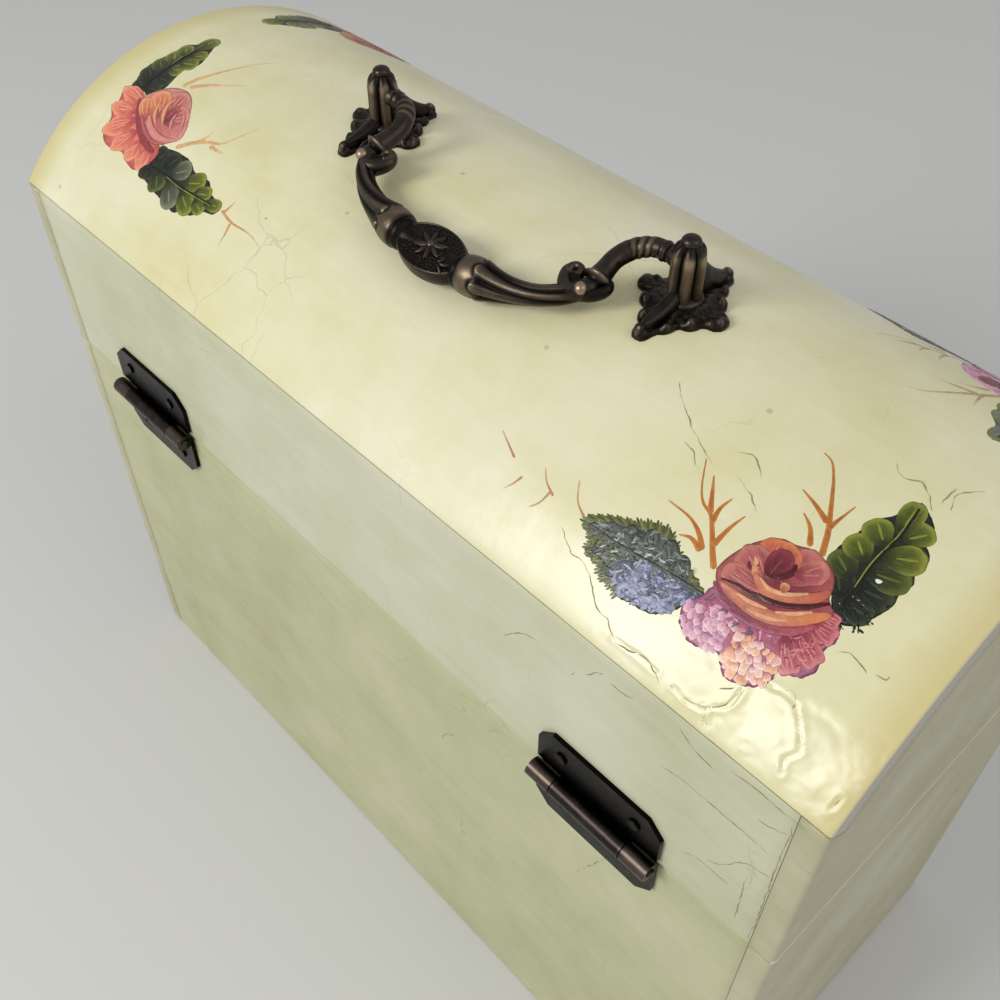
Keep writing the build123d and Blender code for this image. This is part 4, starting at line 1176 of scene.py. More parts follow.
def rear_left_rose(paint, petals):
    """A peach cup over a skirt of crimson, pink and white frills."""
    crimson, peach, pink, white = petals
    skirt = [
        (-116.0, 38.8), (-117.1, 41.7), (-116.3, 44.3), (-117.5, 46.8), (-116.6, 49.6), (-114.4, 50.8),
        (-112.4, 50.4), (-112.4, 53.0), (-111.5, 55.4), (-109.4, 56.8), (-107.6, 57.5), (-105.4, 57.8),
        (-103.5, 56.6), (-102.1, 55.2), (-99.6, 56.2), (-96.5, 56.8), (-92.9, 54.6), (-92.0, 52.3),
        (-93.6, 48.8), (-95.0, 45.0), (-103.0, 41.0), (-111.0, 37.0),
    ]
    paint.wash(skirt, (-104.5, 47.5), pink[0][2], pink[1][2], ragged=0.03)
    for root, tip, half in (
        ((-109.5, 46.0), (-114.6, 50.8), 2.3), ((-110.5, 44.0), (-117.3, 46.8), 2.3),
        ((-111.5, 41.5), (-117.0, 41.6), 2.1), ((-112.0, 39.5), (-115.9, 38.9), 1.5),
    ):
        paint.petal(root, tip, half, crimson[0], hairs=7, scallops=5)
    paint.ruffle(
        [(-92.4, 50), (-101.5, 48.4), (-102.4, 54.6), (-99.6, 55.8), (-96.5, 56.4), (-93.2, 54.2)],
        (-101, 45), 1.15, pink
    )
    paint.ruffle(
        [(-101.8, 49.5), (-109.8, 48.6), (-112.3, 51), (-111.2, 55), (-107.6, 57.1), (-103.4, 56.2)],
        (-103, 45), 1.25, white
    )
    paint.dabs(
        [(-109.5, 45.6), (-95.5, 46.4), (-94.5, 49.6), (-107, 49.6)],
        46, 1.5, 0.24, 25, [pink[0][1], pink[0][2], pink[1][2], "#75506a"], 40
    )
    paint.dabs(
        [(-116, 43), (-111.5, 43), (-110.5, 49), (-114.5, 49.8)],
        22, 1.6, 0.14, 40, [crimson[0][0], crimson[0][2]]
    )
    cup = [
        (-92.8, 43.4), (-93.0, 41.2), (-93.8, 38.5), (-95.1, 35.8), (-97.1, 33.4), (-98.9, 32.1),
        (-101.4, 31.7), (-103.9, 30.8), (-106.6, 31.0), (-109.2, 32.0), (-111.0, 34.0), (-111.7, 36.3),
        (-114.0, 38.3), (-112.6, 41.5), (-109.6, 44.7), (-107.0, 46.2), (-102.9, 47.2), (-99.4, 47.0),
        (-96.6, 46.4), (-94.0, 45.1),
    ]
    paint.wash(cup, (-103.0, 39.5), crimson[1][1], crimson[1][2])
    paint.petal((-102.5, 38.5), (-106.8, 31.2), 3.6, crimson[1], hairs=5)
    paint.petal((-101.0, 39.0), (-99.6, 32.0), 4.3, peach[1], hairs=7)
    paint.petal((-102.5, 41.0), (-94.2, 37.4), 3.6, crimson[1], hairs=6)
    # The hollow between the petals, a bud beside it and a curl at its rim
    paint.petal((-101.0, 39.6), (-101.2, 33.4), 2.5, crimson[2], hairs=3)
    paint.petal((-104.6, 36.6), (-108.6, 32.6), 2.3, crimson[1], hairs=4)
    paint.stroke(
        [(-103.6, 34.6), (-103.9, 36.4), (-102.4, 38.6)], [0.3, 0.6, 0.5], crimson[2][2], crimson[2][2]
    )
    paint.stroke(
        [(-105.0, 32.6), (-107.2, 31.9), (-108.9, 33.2), (-109.0, 35.4)],
        [0.2, 0.5, 0.5, 0.2], crimson[1][0], crimson[1][0]
    )
    paint.petal((-104.0, 42.2), (-93.4, 42.4), 2.5, crimson[1], hairs=7)
    paint.stroke(
        [(-96.6, 38.9), (-97.6, 39.9), (-98.4, 39.0), (-97.9, 37.9)],
        [0.2, 0.35, 0.4, 0.2], crimson[2][2], crimson[2][1]
    )
    paint.stroke(
        [(-96.9, 37.6), (-97.8, 38.4), (-98.6, 39.8), (-99.8, 41.0)],
        [0.2, 0.5, 0.6, 0.4], peach[0][1], peach[0][0]
    )
    # Rolled lips, light on top and dark underneath
    paint.stroke(
        [(-98.6, 40.0), (-101.6, 41.4), (-104.8, 41.0), (-107.6, 39.6), (-110.0, 37.4), (-111.2, 35.0)],
        [0.5, 1.1, 1.3, 1.2, 1.1, 0.5], peach[0][2], peach[0][1], peach[1][1], body=0.08
    )
    paint.stroke(
        [(-100.0, 40.2), (-102.6, 40.9), (-105.6, 39.9), (-108.6, 37.6)],
        [0.2, 0.35, 0.4, 0.2], peach[0][0], peach[0][0]
    )
    paint.petal((-104.9, 40.2), (-104.3, 38.3), 0.95, peach[0], hairs=1)
    paint.stroke(
        [
            (-94.6, 44.3), (-97.8, 43.6), (-100.5, 43.4), (-103.3, 42.8), (-106.2, 41.8), (-109.4, 39.8),
            (-112.4, 36.9)
        ],
        [0.2, 0.35, 0.5, 0.55, 0.5, 0.5, 0.3], "#5c1f22", "#43130f",
    )
    paint.stroke(
        [
            (-93.8, 45.4), (-96.6, 46.9), (-99.4, 47.4), (-102.9, 47.5), (-106.6, 46.6), (-110.2, 44.6),
            (-113.0, 41.4)
        ],
        [0.3, 0.7, 0.8, 0.8, 0.8, 0.8, 0.4], pink[0][2], crimson[0][2], crimson[0][1],
    )
    paint.stroke(
        [(-94.8, 44.9), (-98.6, 45.3), (-102.6, 45.4), (-106.6, 44.4), (-110.2, 41.9), (-113.8, 38.5)],
        [0.4, 1.1, 1.4, 1.4, 1.3, 0.6], crimson[1][1], peach[0][1], peach[1][0], body=0.08
    )
    for line in (
        [(-98.2, 44.9), (-101.6, 44.6), (-104.6, 43.9)], [(-105.8, 43.6), (-108.6, 42.0), (-111.0, 39.8)],
        [(-101.5, 46.0), (-105.0, 45.4), (-108.5, 43.6)],
    ):
        paint.stroke(line, [0.15, 0.4, 0.15], peach[0][0], peach[0][0], body=0.03)


def rear_right_twigs(paint, tones):
    twig(paint, [
        [(107.0, 22.0), (106.0, 18.0), (104.0, 14.0), (101.0, 8.0), (98.5, 3.0), (95.5, -1.0)],
        [(105.0, 21.0), (101.0, 17.5), (96.5, 14.5), (91.5, 11.0)],
        [(90.5, 37.0), (87.0, 33.5), (83.0, 31.0), (79.0, 29.3), (76.0, 24.0), (74.0, 19.5)],
        [(86.5, 33.4), (85.0, 31.0), (84.5, 27.6)],
        [(81.5, 31.6), (78.5, 31.6), (75.5, 31.2)],
    ], tones, thick=0.75)
    twig(paint, [
        [(62.5, 43.2), (57.5, 44.2), (50.0, 44.0), (43.0, 45.5)],
        [(57.4, 44.6), (56.6, 47.5), (56.2, 51.0)],
        [(61.5, 43.2), (61.0, 41.0), (60.8, 39.4)],
        [(49.4, 38.8), (48.6, 38.3)],
    ], (tones[1], "#c98f62", tones[2]), thick=0.42)


def rear_right_leaves(paint, greens, lying=True):
    upright = [
        (119.4, 29.1), (121.9, 27.9), (123.6, 23.4), (123.4, 19.2), (122.1, 14.8), (122.1, 10.2),
        (119.9, 8.0), (117.6, 2.2), (114.2, 6.9), (112.2, 10.2), (110.9, 13.7), (112.6, 17.8),
        (111.7, 22.0), (111.2, 24.5), (112.2, 27.1), (115.2, 29.3),
    ]
    lobed_leaf(paint, upright, (117.2, 18.0), greens[0][1], [
        ((117.2, 28.2), (122.0, 27.0), 2.5, 0), ((116.8, 28.0), (111.8, 26.2), 2.6, 0),
        ((117.4, 25.6), (123.4, 22.4), 2.6, 0), ((117.0, 23.4), (111.6, 22.6), 2.4, 0),
        ((117.4, 21.4), (123.2, 18.4), 2.4, 1), ((116.8, 19.8), (112.6, 17.8), 2.2, 2),
        ((117.6, 17.6), (122.0, 13.8), 2.3, 2), ((116.4, 16.2), (111.1, 13.8), 2.4, 2),
        ((117.6, 13.8), (121.8, 10.2), 2.0, 2), ((116.2, 12.6), (112.6, 9.4), 2.0, 2),
        ((117.6, 10.0), (117.5, 2.4), 2.3, 2),
    ], greens, [(117.6, 27.5), (117.6, 18.0), (117.6, 6.0)])
    if not lying:
        return
    outline = [
        (95.9, 47.6), (95.9, 45.9), (94.2, 43.9), (94.5, 40.2), (91.7, 38.2), (87.0, 37.5), (82.5, 37.7),
        (79.3, 39.1), (76.5, 39.7), (72.5, 39.1), (69.7, 41.2), (65.7, 42.0), (63.1, 42.6), (64.0, 45.2),
        (67.7, 46.4), (70.3, 48.9), (73.8, 49.0), (75.9, 50.8), (79.4, 50.4), (85.8, 49.6), (91.4, 48.6),
    ]
    lobed_leaf(paint, outline, (81.0, 44.2), greens[0][1], [
        ((93.2, 42.8), (91.5, 38.6), 2.8, 0), ((93.3, 45.4), (92.6, 48.6), 2.4, 0),
        ((88.8, 43.2), (86.3, 38.0), 2.8, 0), ((89.7, 45.0), (85.8, 49.2), 2.6, 1),
        ((85.0, 43.2), (80.6, 38.8), 2.6, 3), ((84.2, 45.2), (77.6, 50.4), 2.7, 3),
        ((79.6, 43.4), (73.2, 39.6), 2.5, 2), ((78.4, 45.2), (71.2, 48.8), 2.4, 2),
        ((74.2, 43.8), (68.6, 41.6), 2.0, 2), ((72.6, 45.2), (67.4, 46.4), 1.9, 2),
        ((69.2, 44.2), (63.2, 42.8), 1.6, 2),
    ], greens, [(94.0, 44.6), (86.0, 44.2), (78.0, 44.4), (66.0, 43.6)])


def rear_right_rose(paint, coral, rose, warm):
    """A rose seen from its side, with a coral skirt of broad petals."""
    skirt = [
        (114.5, 30.2), (119.9, 29.4), (123.2, 31.0), (122.0, 33.2), (120.8, 35.5), (121.6, 37.4),
        (118.5, 40.2), (117.2, 44.4), (114.3, 46.6), (109.8, 47.0), (105.6, 46.2), (102.4, 47.5),
        (97.4, 47.9), (96.7, 45.9), (94.0, 43.7), (94.4, 40.0), (104.0, 36.5),
    ]
    paint.wash(skirt, (109.0, 39.5), coral[2], coral[1])
    for root, tip, half in (
        ((112.5, 31.8), (122.8, 31.3), 2.6), ((111.5, 34.5), (121.2, 37.2), 3.1),
        ((109.5, 37.0), (117.6, 44.2), 3.4), ((98.4, 41.0), (96.9, 47.4), 2.4),
        ((102.4, 40.6), (102.8, 47.2), 2.9), ((106.4, 39.2), (110.2, 46.9), 3.4),
    ):
        paint.petal(root, tip, half, coral, hairs=7, scallops=4)
    paint.stroke(
        [(95.6, 41.4), (100.2, 40.7), (105.0, 38.8), (110.5, 35.4), (115.0, 31.4)],
        [0.6, 1.0, 1.1, 1.0, 0.4], rose[2], "#9a4047", rose[2]
    )
    cup = [
        (114.0, 31.1), (114.2, 29.8), (112.8, 27.6), (110.7, 24.9), (107.6, 23.0), (103.5, 22.4),
        (99.9, 23.8), (95.2, 28.1), (92.2, 31.7), (91.4, 34.6), (93.4, 36.9), (97.0, 38.9), (101.3, 38.6),
        (106.5, 36.8), (111.8, 33.8),
    ]
    paint.wash(cup, (103.0, 31.5), rose[0], rose[1])
    paint.petal((102.0, 31.5), (104.2, 22.8), 3.8, rose, hairs=6)
    paint.petal((101.0, 33.0), (95.6, 27.6), 4.0, rose, hairs=6)
    paint.petal((103.5, 33.0), (111.4, 26.4), 3.6, warm, hairs=6)
    paint.petal((101.0, 33.6), (101.2, 27.4), 2.5, (rose[1], "#95434a", "#7a3038"), hairs=3)
    paint.petal((106.6, 36.0), (113.4, 30.2), 2.2, warm, hairs=4)
    for line, half in (
        ([(100.4, 34.2), (103.3, 31.4), (104.8, 28.6), (104.2, 26.0)], 0.9),
        ([(102.6, 35.2), (106.2, 32.4), (108.0, 28.8)], 0.9),
        ([(93.4, 33.0), (95.6, 30.2), (98.0, 27.8)], 0.7),
        ([(96.8, 34.2), (98.8, 31.8), (99.6, 29.4)], 0.7),
    ):
        paint.stroke(
            line, [half * 0.4, half, half * 0.8, half * 0.3], rose[2], warm[0] if half > 0.8 else rose[0],
            body=0.06
        )
    paint.stroke(
        [(92.6, 35.4), (96.0, 37.2), (100.0, 37.4), (104.4, 36.0), (107.0, 33.8)],
        [0.4, 1.1, 1.3, 1.1, 0.4], rose[1], rose[0], body=0.07
    )
    paint.stroke(
        [(94.6, 38.0), (98.8, 39.2), (104.0, 38.0), (109.6, 35.0)],
        [0.3, 0.6, 0.7, 0.4], rose[2], rose[1], body=0.05
    )


def painted_sprays(material):
    dark = ("#3d4426", "#20251b", "#11140d")
    middle = ("#626a2b", "#3b421f", "#1d2212")
    light = ("#8b9236", "#59611f", "#2b3113")
    ashen = ("#7f8466", "#565a46", "#2c3027")
    greens = (dark, middle, light, ashen)
    olive = ["#5f6434", "#757a40", "#3f4424", "#2a2e1c"]
    grey = ["#5f655f", "#737970", "#4a4f48", "#878c86", "#33372f"]
    blue = ["#7b819a", "#8a90aa", "#636985", "#525872", "#9ca2bb", "#454b63"]
    crimson = (
        ("#cf7f80", "#b0525a", "#7e2c3b"), ("#c47a6c", "#a9585a", "#83363d"),
        ("#8a3c44", "#752c35", "#55181f")
    )
    peach = (("#e0a37c", "#cd8260", "#a95249"), ("#d27d52", "#b9604c", "#8f3c3c"))
    pink = (
        ("#e9c3ce", "#d59db0", "#a05f7c"), ("#eed2d6", "#daa6b4", "#a8546c"),
        ("#dba6bd", "#bf839f", "#8d5578")
    )
    white = (
        ("#f3d6bd", "#e8b494", "#b9605c"), ("#f0c9a4", "#e3a57c", "#c06d52"),
        ("#f2d9d0", "#e2afa6", "#b0596a")
    )
    paint = Paint(1, seed=3)
    rear_left_twigs(paint, ("#c9863f", "#b4682b", "#c08440"))
    rear_left_leaf(paint, greens)
    ragged_leaf(paint, olive, grey, blue)
    rear_left_rose(paint, (crimson, peach, pink, white))
    twig(paint, [
        [(-66.0, 50.2), (-63.0, 48.5), (-60.5, 45.0)], [(-58.0, 50.5), (-55.0, 49.0), (-53.0, 47.0)],
        [(-57.0, 50.0), (-56.4, 53.0), (-55.0, 55.0)], [(-50.0, 51.0), (-49.0, 53.5), (-48.0, 55.0)],
        [(-46.0, 49.0), (-43.0, 47.5), (-40.0, 46.0)],
    ], ("#c9a06f", "#b57c4e", "#cdb183"), thick=0.3)
    paint.piece("spray_rear_left", material)
    paint = Paint(1, seed=5)
    coral = ("#f0a07e", "#df7c66", "#b9524f")
    rose = ("#db9488", "#bf6863", "#934248")
    warm = ("#eba779", "#d9805c", "#ad5450")
    rear_right_twigs(paint, ("#e3c08c", "#d8aa70", "#dfcf9f"))
    rear_right_leaves(paint, greens)
    rear_right_rose(paint, coral, rose, warm)
    paint.piece("spray_rear_right", material)
    # On the front slope a softer mauve rose stands at the left, and a rust rose lower down at the right
    paint = Paint(-1, seed=4)
    rear_left_twigs(paint, ("#c9b789", "#b79f72", "#cfc090"))
    rear_left_leaf(paint, (ashen, ashen, (olive[1], grey[1], grey[2]), ashen))
    ragged_leaf(paint, olive, grey, blue)
    rear_left_rose(paint, ((pink[2], pink[2], crimson[2]), (pink[0], pink[2]), pink, pink))
    paint.piece("spray_front_left", material)
    paint = Paint(-1, (3.0, 12.0), seed=6)
    rear_right_leaves(paint, greens, lying=False)
    rust = ("#cf8f5e", "#b06a40", "#7a3f2c")
    rear_right_rose(paint, rust, ("#b9795c", "#96543f", "#6a3329"), rust)
    paint.piece("spray_front_right", material)


# The bail: a cast grip with an oval medallion, two bulbs with leaf flutes, scrolls and roped arms

bail_pivot = np.array(next(j for j in frame["joints"] if j["name"] == "bail_swing")["pos_m"]) / MM
bail_high = node_box("handle_bail")[1]
bail_pin = 5.0
bail_half_span = bail_high[0] - bail_pin
bail_reach = 28.0
bulb_radius = 4.75
bulb_swing = math.hypot(bail_reach - 0.5, bulb_radius)
pivot_above_centre = bail_pivot[2] - dome_centre
rest_radius = dome_radius + 0.4
rest_drop = (bulb_swing**2 + pivot_above_centre**2 - rest_radius**2) / (2 * pivot_above_centre)
bail_tilt = math.atan2(bail_reach - 0.5, bulb_radius) - math.acos(rest_drop / bulb_swing)
bail_axes = np.array(
    [[1, 0, 0], [0, math.cos(bail_tilt), -math.sin(bail_tilt)], [0, math.sin(bail_tilt), math.cos(bail_tilt)]]
)

# Along one half of the bail, from the middle out: place, reach and half thickness
grip_knots = [
    (0.0, 28.0, 2.3), (7.8, 28.0, 2.9), (8.8, 27.95, 3.7), (9.6, 27.9, 4.0), (11.2, 27.7, 4.4),
    (13.2, 27.4, 4.5), (15.2, 27.1, 4.15), (17.8, 26.6, 3.45), (20.8, 25.9, 2.85), (24.5, 24.7, 2.4),
    (27.9, 23.1, 2.15), (30.5, 21.3, 2.05), (32.4, 19.6, 2.05), (33.9, 17.9, 2.1), (34.9, 16.3, 2.15),
    (35.3, 14.9, 2.15),
]
arm_knots = [
    (35.2, 12.9, 2.3), (34.9, 10.2, 2.2), (34.7, 7.6, 2.15), (35.2, 5.2, 2.2), (36.3, 3.0, 2.25),
    (37.9, 1.4, 2.25), (39.5, 0.4, 2.15), (41.2, 0.0, 2.05), (43.1, 0.0, 2.0),
]
flute_count = 6
flute_start, flute_end = 14.4, 33.0
flute_depth = 1.0
band_pitch, band_depth = 1.9, 0.2
ring_sides = 72
# Along the run from the middle: the dark sleeve, and where the bulb's rubbed part comes in and goes out
sleeve_place = 10.0
bulb_in, bulb_out = (10.0, 11.4), (14.2, 16.4)
# Along the arm from its elbow: the gap under its foot, the foot's lip, and where the bands start
gap_place, lip_place, bands_start = 0.4, 1.6, 10.0


def in_bail(local):
    """Places (along, reach, height) of the lying bail in the object's own frame."""
    return bail_pivot + np.asarray(local, float) @ bail_axes


def bail_half(shells, side):
    """One half of the grip and its arm, on one side of the medallion."""
    path = smooth_path(grip_knots + arm_knots, 0.28)
    heading = np.gradient(path[:, :2], axis=0)
    heading /= np.linalg.norm(heading, axis=1)[:, None]
    run = np.concatenate([[0], np.cumsum(np.linalg.norm(np.diff(path[:, :2], axis=0), axis=1))])[:, None]
    elbow_run = run[np.argmin(np.linalg.norm(path[:, :2] - grip_knots[-1][:2], axis=1)), 0]
    turn = np.linspace(0, 2 * math.pi, ring_sides, endpoint=False)[None, :]
    # A dark sleeve holds the bulb, and leaf flutes grow from round tips on it and sweep along the bar
    swirl = turn + 0.05 * (run - flute_start)
    crest_line = np.abs(np.cos(flute_count * swirl / 2))
    leaf_edge = flute_start + 2.2 * (1 - crest_line**0.6)
    leafy = blend_in(leaf_edge, leaf_edge + 0.45, run) * (1 - blend_in(flute_end, flute_end + 4, run))
    undercut = np.exp(-(((run - leaf_edge + 0.2) / 0.28) ** 2)) * (run < flute_start + 3)
    groove = (1 - crest_line) ** 1.3
    sleeve = np.exp(-(((run - sleeve_place) / 0.3) ** 2))
    # The arm's foot is a bell with a rubbed lip, and oblique bands lie round its upper part
    on_arm = run - elbow_run
    banded = blend_in(bands_start, bands_start + 2.5, on_arm)
    banded = banded * (1 - blend_in(run[-1] - 4.0, run[-1] - 2.5, run))
    lay = np.abs(np.sin(math.pi * run / band_pitch + side * turn))
    lip = np.exp(-(((on_arm - lip_place) / 0.55) ** 2))
    gap = np.exp(-(((on_arm - gap_place) / 0.5) ** 2))
    collar = np.exp(-(((run - run[-1] + 1.0) / 0.5) ** 2))
    thick = path[:, 2:3]
    radius = thick + leafy * (0.3 - flute_depth * groove * thick / 4.0) - 0.3 * undercut - 0.3 * sleeve
    radius = radius - banded * band_depth * (1 - lay) ** 1.4 + 0.75 * lip - 0.3 * gap + 0.3 * collar
    radius = radius + 0.25 * blend_in(5.5, lip_place, on_arm) * (on_arm > lip_place)
    wear = 0.45 + 0.5 * leafy * (crest_line - 0.55) - 0.6 * leafy * groove - 0.7 * undercut - 0.5 * sleeve
    wear = wear + banded * (0.6 * lay - 0.25) - 0.5 * gap + 0.4 * lip
    bulb = blend_in(*bulb_in, run) * (1 - blend_in(*bulb_out, run))
    before_sleeve = 1 - blend_in(sleeve_place - 0.4, sleeve_place + 0.4, run)
    wear = wear + 0.34 * bulb - 0.35 * before_sleeve
    across = np.stack([side * heading[:, 1], -heading[:, 0], 0 * run[:, 0]], axis=1)
    centres = np.stack([side * path[:, 0], path[:, 1], 0 * path[:, 0]], axis=1)
    upright = np.array([0.0, 0.0, 1.0])
    rings = centres[:, None] + radius[..., None] * (
        np.cos(turn)[..., None] * upright + np.sin(turn)[..., None] * across[:, None]
    )
    shells.loft(in_bail(rings), wear)
    # The pin that turns in the post
    ends = np.linspace(bail_half_span - 0.6, bail_half_span + bail_pin - 0.5, 4)
    shells.tube(in_bail([(side * x, 0, 0) for x in ends]), 1.55, wear=0.4)


def spiral(centre, start_radius, end_radius, start_turn, turns, count=40):
    """Points of a flat spiral in the bail's plane."""
    share = np.linspace(0, 1, count)
    angle = start_turn + 2 * math.pi * turns * share
    reach = start_radius + (end_radius - start_radius) * share
    return np.stack([centre[0] + reach * np.cos(angle), centre[1] + reach * np.sin(angle), 0 * share], axis=1)


def mirrored(points, side):
    return np.asarray(points, float) * (side, 1, 1)


def bail_scrolls(shells, side):
    """The volute towards the hand, the bead beside it and the leaf that curls out at the elbow."""
    stalk = smooth_path([(32.6, 19.0), (30.9, 18.3), (29.4, 16.9), (28.6, 15.4), (28.6, 14.4)], 0.35)
    stalk = np.column_stack([stalk, np.zeros(len(stalk))])
    narrow = np.linspace(1.9, 1.15, len(stalk))
    shells.tube(in_bail(mirrored(stalk, side)), narrow, up=bail_axes[2], flatness=1.25, wear=0.5)
    web = smooth_path([(33.6, 17.4), (32.2, 16.4), (30.6, 15.2)], 0.35)
    web = np.column_stack([web, np.full(len(web), -0.3)])
    shells.tube(in_bail(mirrored(web, side)), np.linspace(1.9, 1.6, len(web)), up=bail_axes[2], wear=0.1)
    volute = spiral((30.3, 14.4), 1.5, 0.3, math.radians(150), 1.6)
    narrow = np.linspace(1.15, 0.55, len(volute))
    shells.tube(in_bail(mirrored(volute, side)), narrow, up=bail_axes[2], flatness=1.5, wear=0.6)
    shells.ball(in_bail((side * 30.3, 14.4, -0.2)), 1.7, (1, 1, 0.8), bail_axes, wear=0.1)
    shells.ball(in_bail((side * 35.1, 17.7, 1.7)), 1.45, (1, 1, 0.9), bail_axes, wear=1.0)
    curl = smooth_path(
        [(34.6, 17.6), (36.4, 16.8), (37.9, 15.4), (38.5, 13.8), (37.9, 12.6), (37.1, 12.7)], 0.3
    )
    curl = np.column_stack([curl, np.full(len(curl), -0.5)])
    taper = np.linspace(0, 1, len(curl))
    shells.tube(in_bail(mirrored(curl, side)), 1.6 - 0.7 * taper, up=bail_axes[2], flatness=1.2, wear=0.15)


def medallion_height(share):
    """Height of the medallion's face over the bail's plane, from its middle out."""
    return 2.35 - 0.65 * share**2.5


def stipple_tree():
    """Geometry nodes that set small round dots over a face, no two too near."""
    tree, given = node_group("punched_dots", Gap="NodeSocketFloat", Dot="NodeSocketFloat")
    spots = add(tree, "GeometryNodeDistributePointsOnFaces", {
        "Mesh": given["Geometry"], "Distance Min": given["Gap"], "Density Max": 3.0e6, "Seed": 4
    }, distribute_method="POISSON")
    dot = add(tree, "GeometryNodeMeshIcoSphere", {"Radius": given["Dot"], "Subdivisions": 1})
    smooth = add(tree, "GeometryNodeSetShadeSmooth", {"Geometry": dot})
    size = add(tree, "FunctionNodeRandomValue", {"Min": 0.75, "Max": 1.2, "Seed": 7}, data_type="FLOAT")
    copies = add(tree, "GeometryNodeInstanceOnPoints", {
        "Points": spots, "Instance": smooth, "Scale": size.outputs["Value"]
    })
    return close_group(tree, given, copies)


medallion_x, medallion_half_long, medallion_half_wide = -0.4, 9.9, 6.0
daisy_place = (medallion_x + 0.2, bail_reach - 0.3)
sprig_place = (-5.3, bail_reach + 2.6)
dot_gap, dot_radius = 0.62, 0.21


def medallion(shells, material):
    """The oval with its thin rim and dotted face, and a pointed daisy and a sprig standing on it."""
    profile = [
        (0.05, -2.5), (0.5, -2.5), (0.84, -2.5), (0.93, -2.25), (0.98, -1.6), (1.0, -0.7), (1.0, 0.8),
        (0.99, 1.5), (0.97, 1.95), (0.95, 2.1), (0.93, 2.05), (0.915, 1.85), (0.9, medallion_height(0.9)),
        (0.7, medallion_height(0.7)), (0.4, medallion_height(0.4)), (0.05, medallion_height(0.05)),
    ]
    around = np.linspace(0, 2 * math.pi, 72, endpoint=False)
    oval = np.stack([medallion_half_long * np.cos(around), medallion_half_wide * np.sin(around)], 1)
    middle = np.array([medallion_x, bail_reach])
    rings = [np.column_stack([middle + size * oval, np.full(len(oval), lift)]) for size, lift in profile]
    edge_wear = [
        0.15 + 0.55 * math.exp(-(((size - 0.96) / 0.03) ** 2)) * (lift > 0) for size, lift in profile
    ]
    shells.loft(in_bail(rings), np.array(edge_wear)[:, None])
    face = np.array(rings[-4:]).reshape(-1, 3)
    faces = [tuple(corners) for corners in grid_faces(4, len(oval), True).tolist()]
    patch = loose_object("medallion_face", in_bail(face), [], faces)
    dots = grown(patch, stipple_tree(), Finish=material, Gap=dot_gap * MM, Dot=dot_radius * MM)
    mesh_shell(shells, dots, 0, 0.5)
    bpy.data.meshes.remove(dots)
    petals = 8
    for turn in range(petals):
        angle = 2 * math.pi * (turn + 0.5) / petals
        leaf(shells, daisy_place, angle, 3.9 + 0.4 * math.cos(2 * angle), 1.0)
    shells.ball(in_bail((*daisy_place, 2.75)), 0.85, (1, 1, 0.6), bail_axes, wear=0.75)
    # The sprig: three leaves from one root, towards one end
    for angle, length in ((math.radians(150), 2.4), (math.radians(205), 2.8), (math.radians(265), 2.2)):
        leaf(shells, sprig_place, angle, length, 0.65)


def leaf(shells, root, angle, length, half_width):
    """One pointed petal or leaf on the medallion's face, ridged along its middle."""
    rings = []
    outward = np.array([math.cos(angle), math.sin(angle), 0])
    sideways = np.array([-math.sin(angle), math.cos(angle), 0])
    section = [(-1, 0.0), (-0.55, 0.3), (0, 0.68), (0.55, 0.3), (1, 0.0), (0.5, -0.4), (-0.5, -0.4)]
    for share in np.linspace(0.03, 0.97, 12):
        width = half_width * math.sin(math.pi * share**0.8) ** 0.8 + 0.03
        along = np.array([*root, 0]) + outward * (0.3 + length * share)
        off = np.hypot(
            (along[0] - medallion_x) / medallion_half_long, (along[1] - bail_reach) / medallion_half_wide
        )
        along[2] = medallion_height(min(off, 1.0))
        rings.append(
            [along + sideways * width * a + np.array([0, 0, b * (1.15 - 0.5 * share)]) for a, b in section]
        )
    shells.loft(in_bail(rings), np.array([0.1, 0.3, 0.65, 0.3, 0.1, 0, 0]))


def cast_bail(material):
    shells = Shells()
    for side in (1, -1):
        bail_half(shells, side)
        bail_scrolls(shells, side)
    medallion(shells, material)
    shells.piece("bail_casting", material, "bail", "antique_brass", ["handle_bail"])


# The posts: reeded columns with a domed cap, and fins that sweep down to the plate's tips

plate_low, plate_high = node_box("handle_right_plate")
post_x = (plate_low[0] + plate_high[0]) / 2
plate_thickness = 2.0
post_bottom = crest + plate_thickness
reed_count = 6
# Up a reed: distance from the post's axis, height over the plate and half thickness
reed_knots = [
    (2.55, -0.8, 1.4), (2.55, 2.0, 1.38), (2.5, 5.0, 1.38), (2.5, 8.0, 1.4), (2.45, 9.8, 1.4),
    (2.2, 11.0, 1.35), (1.7, 11.9, 1.15), (1.2, 12.5, 0.9),
]
# The core behind the reeds and the cap on it: radius and height over the plate
core_profile = [
    (0.05, -1.2), (4.3, -1.2), (4.3, 0.1), (4.1, 0.5), (3.6, 0.75), (3.1, 1.0), (2.6, 1.6), (2.5, 9.0),
    (2.4, 10.6), (2.1, 11.8), (1.85, 12.3), (1.85, 12.6), (2.05, 12.85), (2.15, 13.2), (2.05, 13.7),
    (1.7, 14.15), (1.2, 14.42), (0.6, 14.56), (0.05, 14.6),
]
# The rear side of each casting is shorter and its fin lower than at the front
rear_reach, low_fin = 0.9, 0.32
# Along a front fin, from the post out: distance from the post's axis, top over the crest and half width
fin_knots = [
    (1.0, 10.9, 1.5), (3.4, 10.6, 1.55), (4.6, 9.5, 1.6), (5.8, 8.1, 1.65), (7.2, 6.6, 1.65),
    (9.0, 4.9, 1.6), (10.9, 3.5, 1.4), (12.6, 2.5, 1.1), (13.7, 2.0, 0.95), (14.6, 2.0, 1.2),
    (15.3, 1.6, 1.15), (15.8, 0.7, 0.7), (15.95, -0.2, 0.3),
]


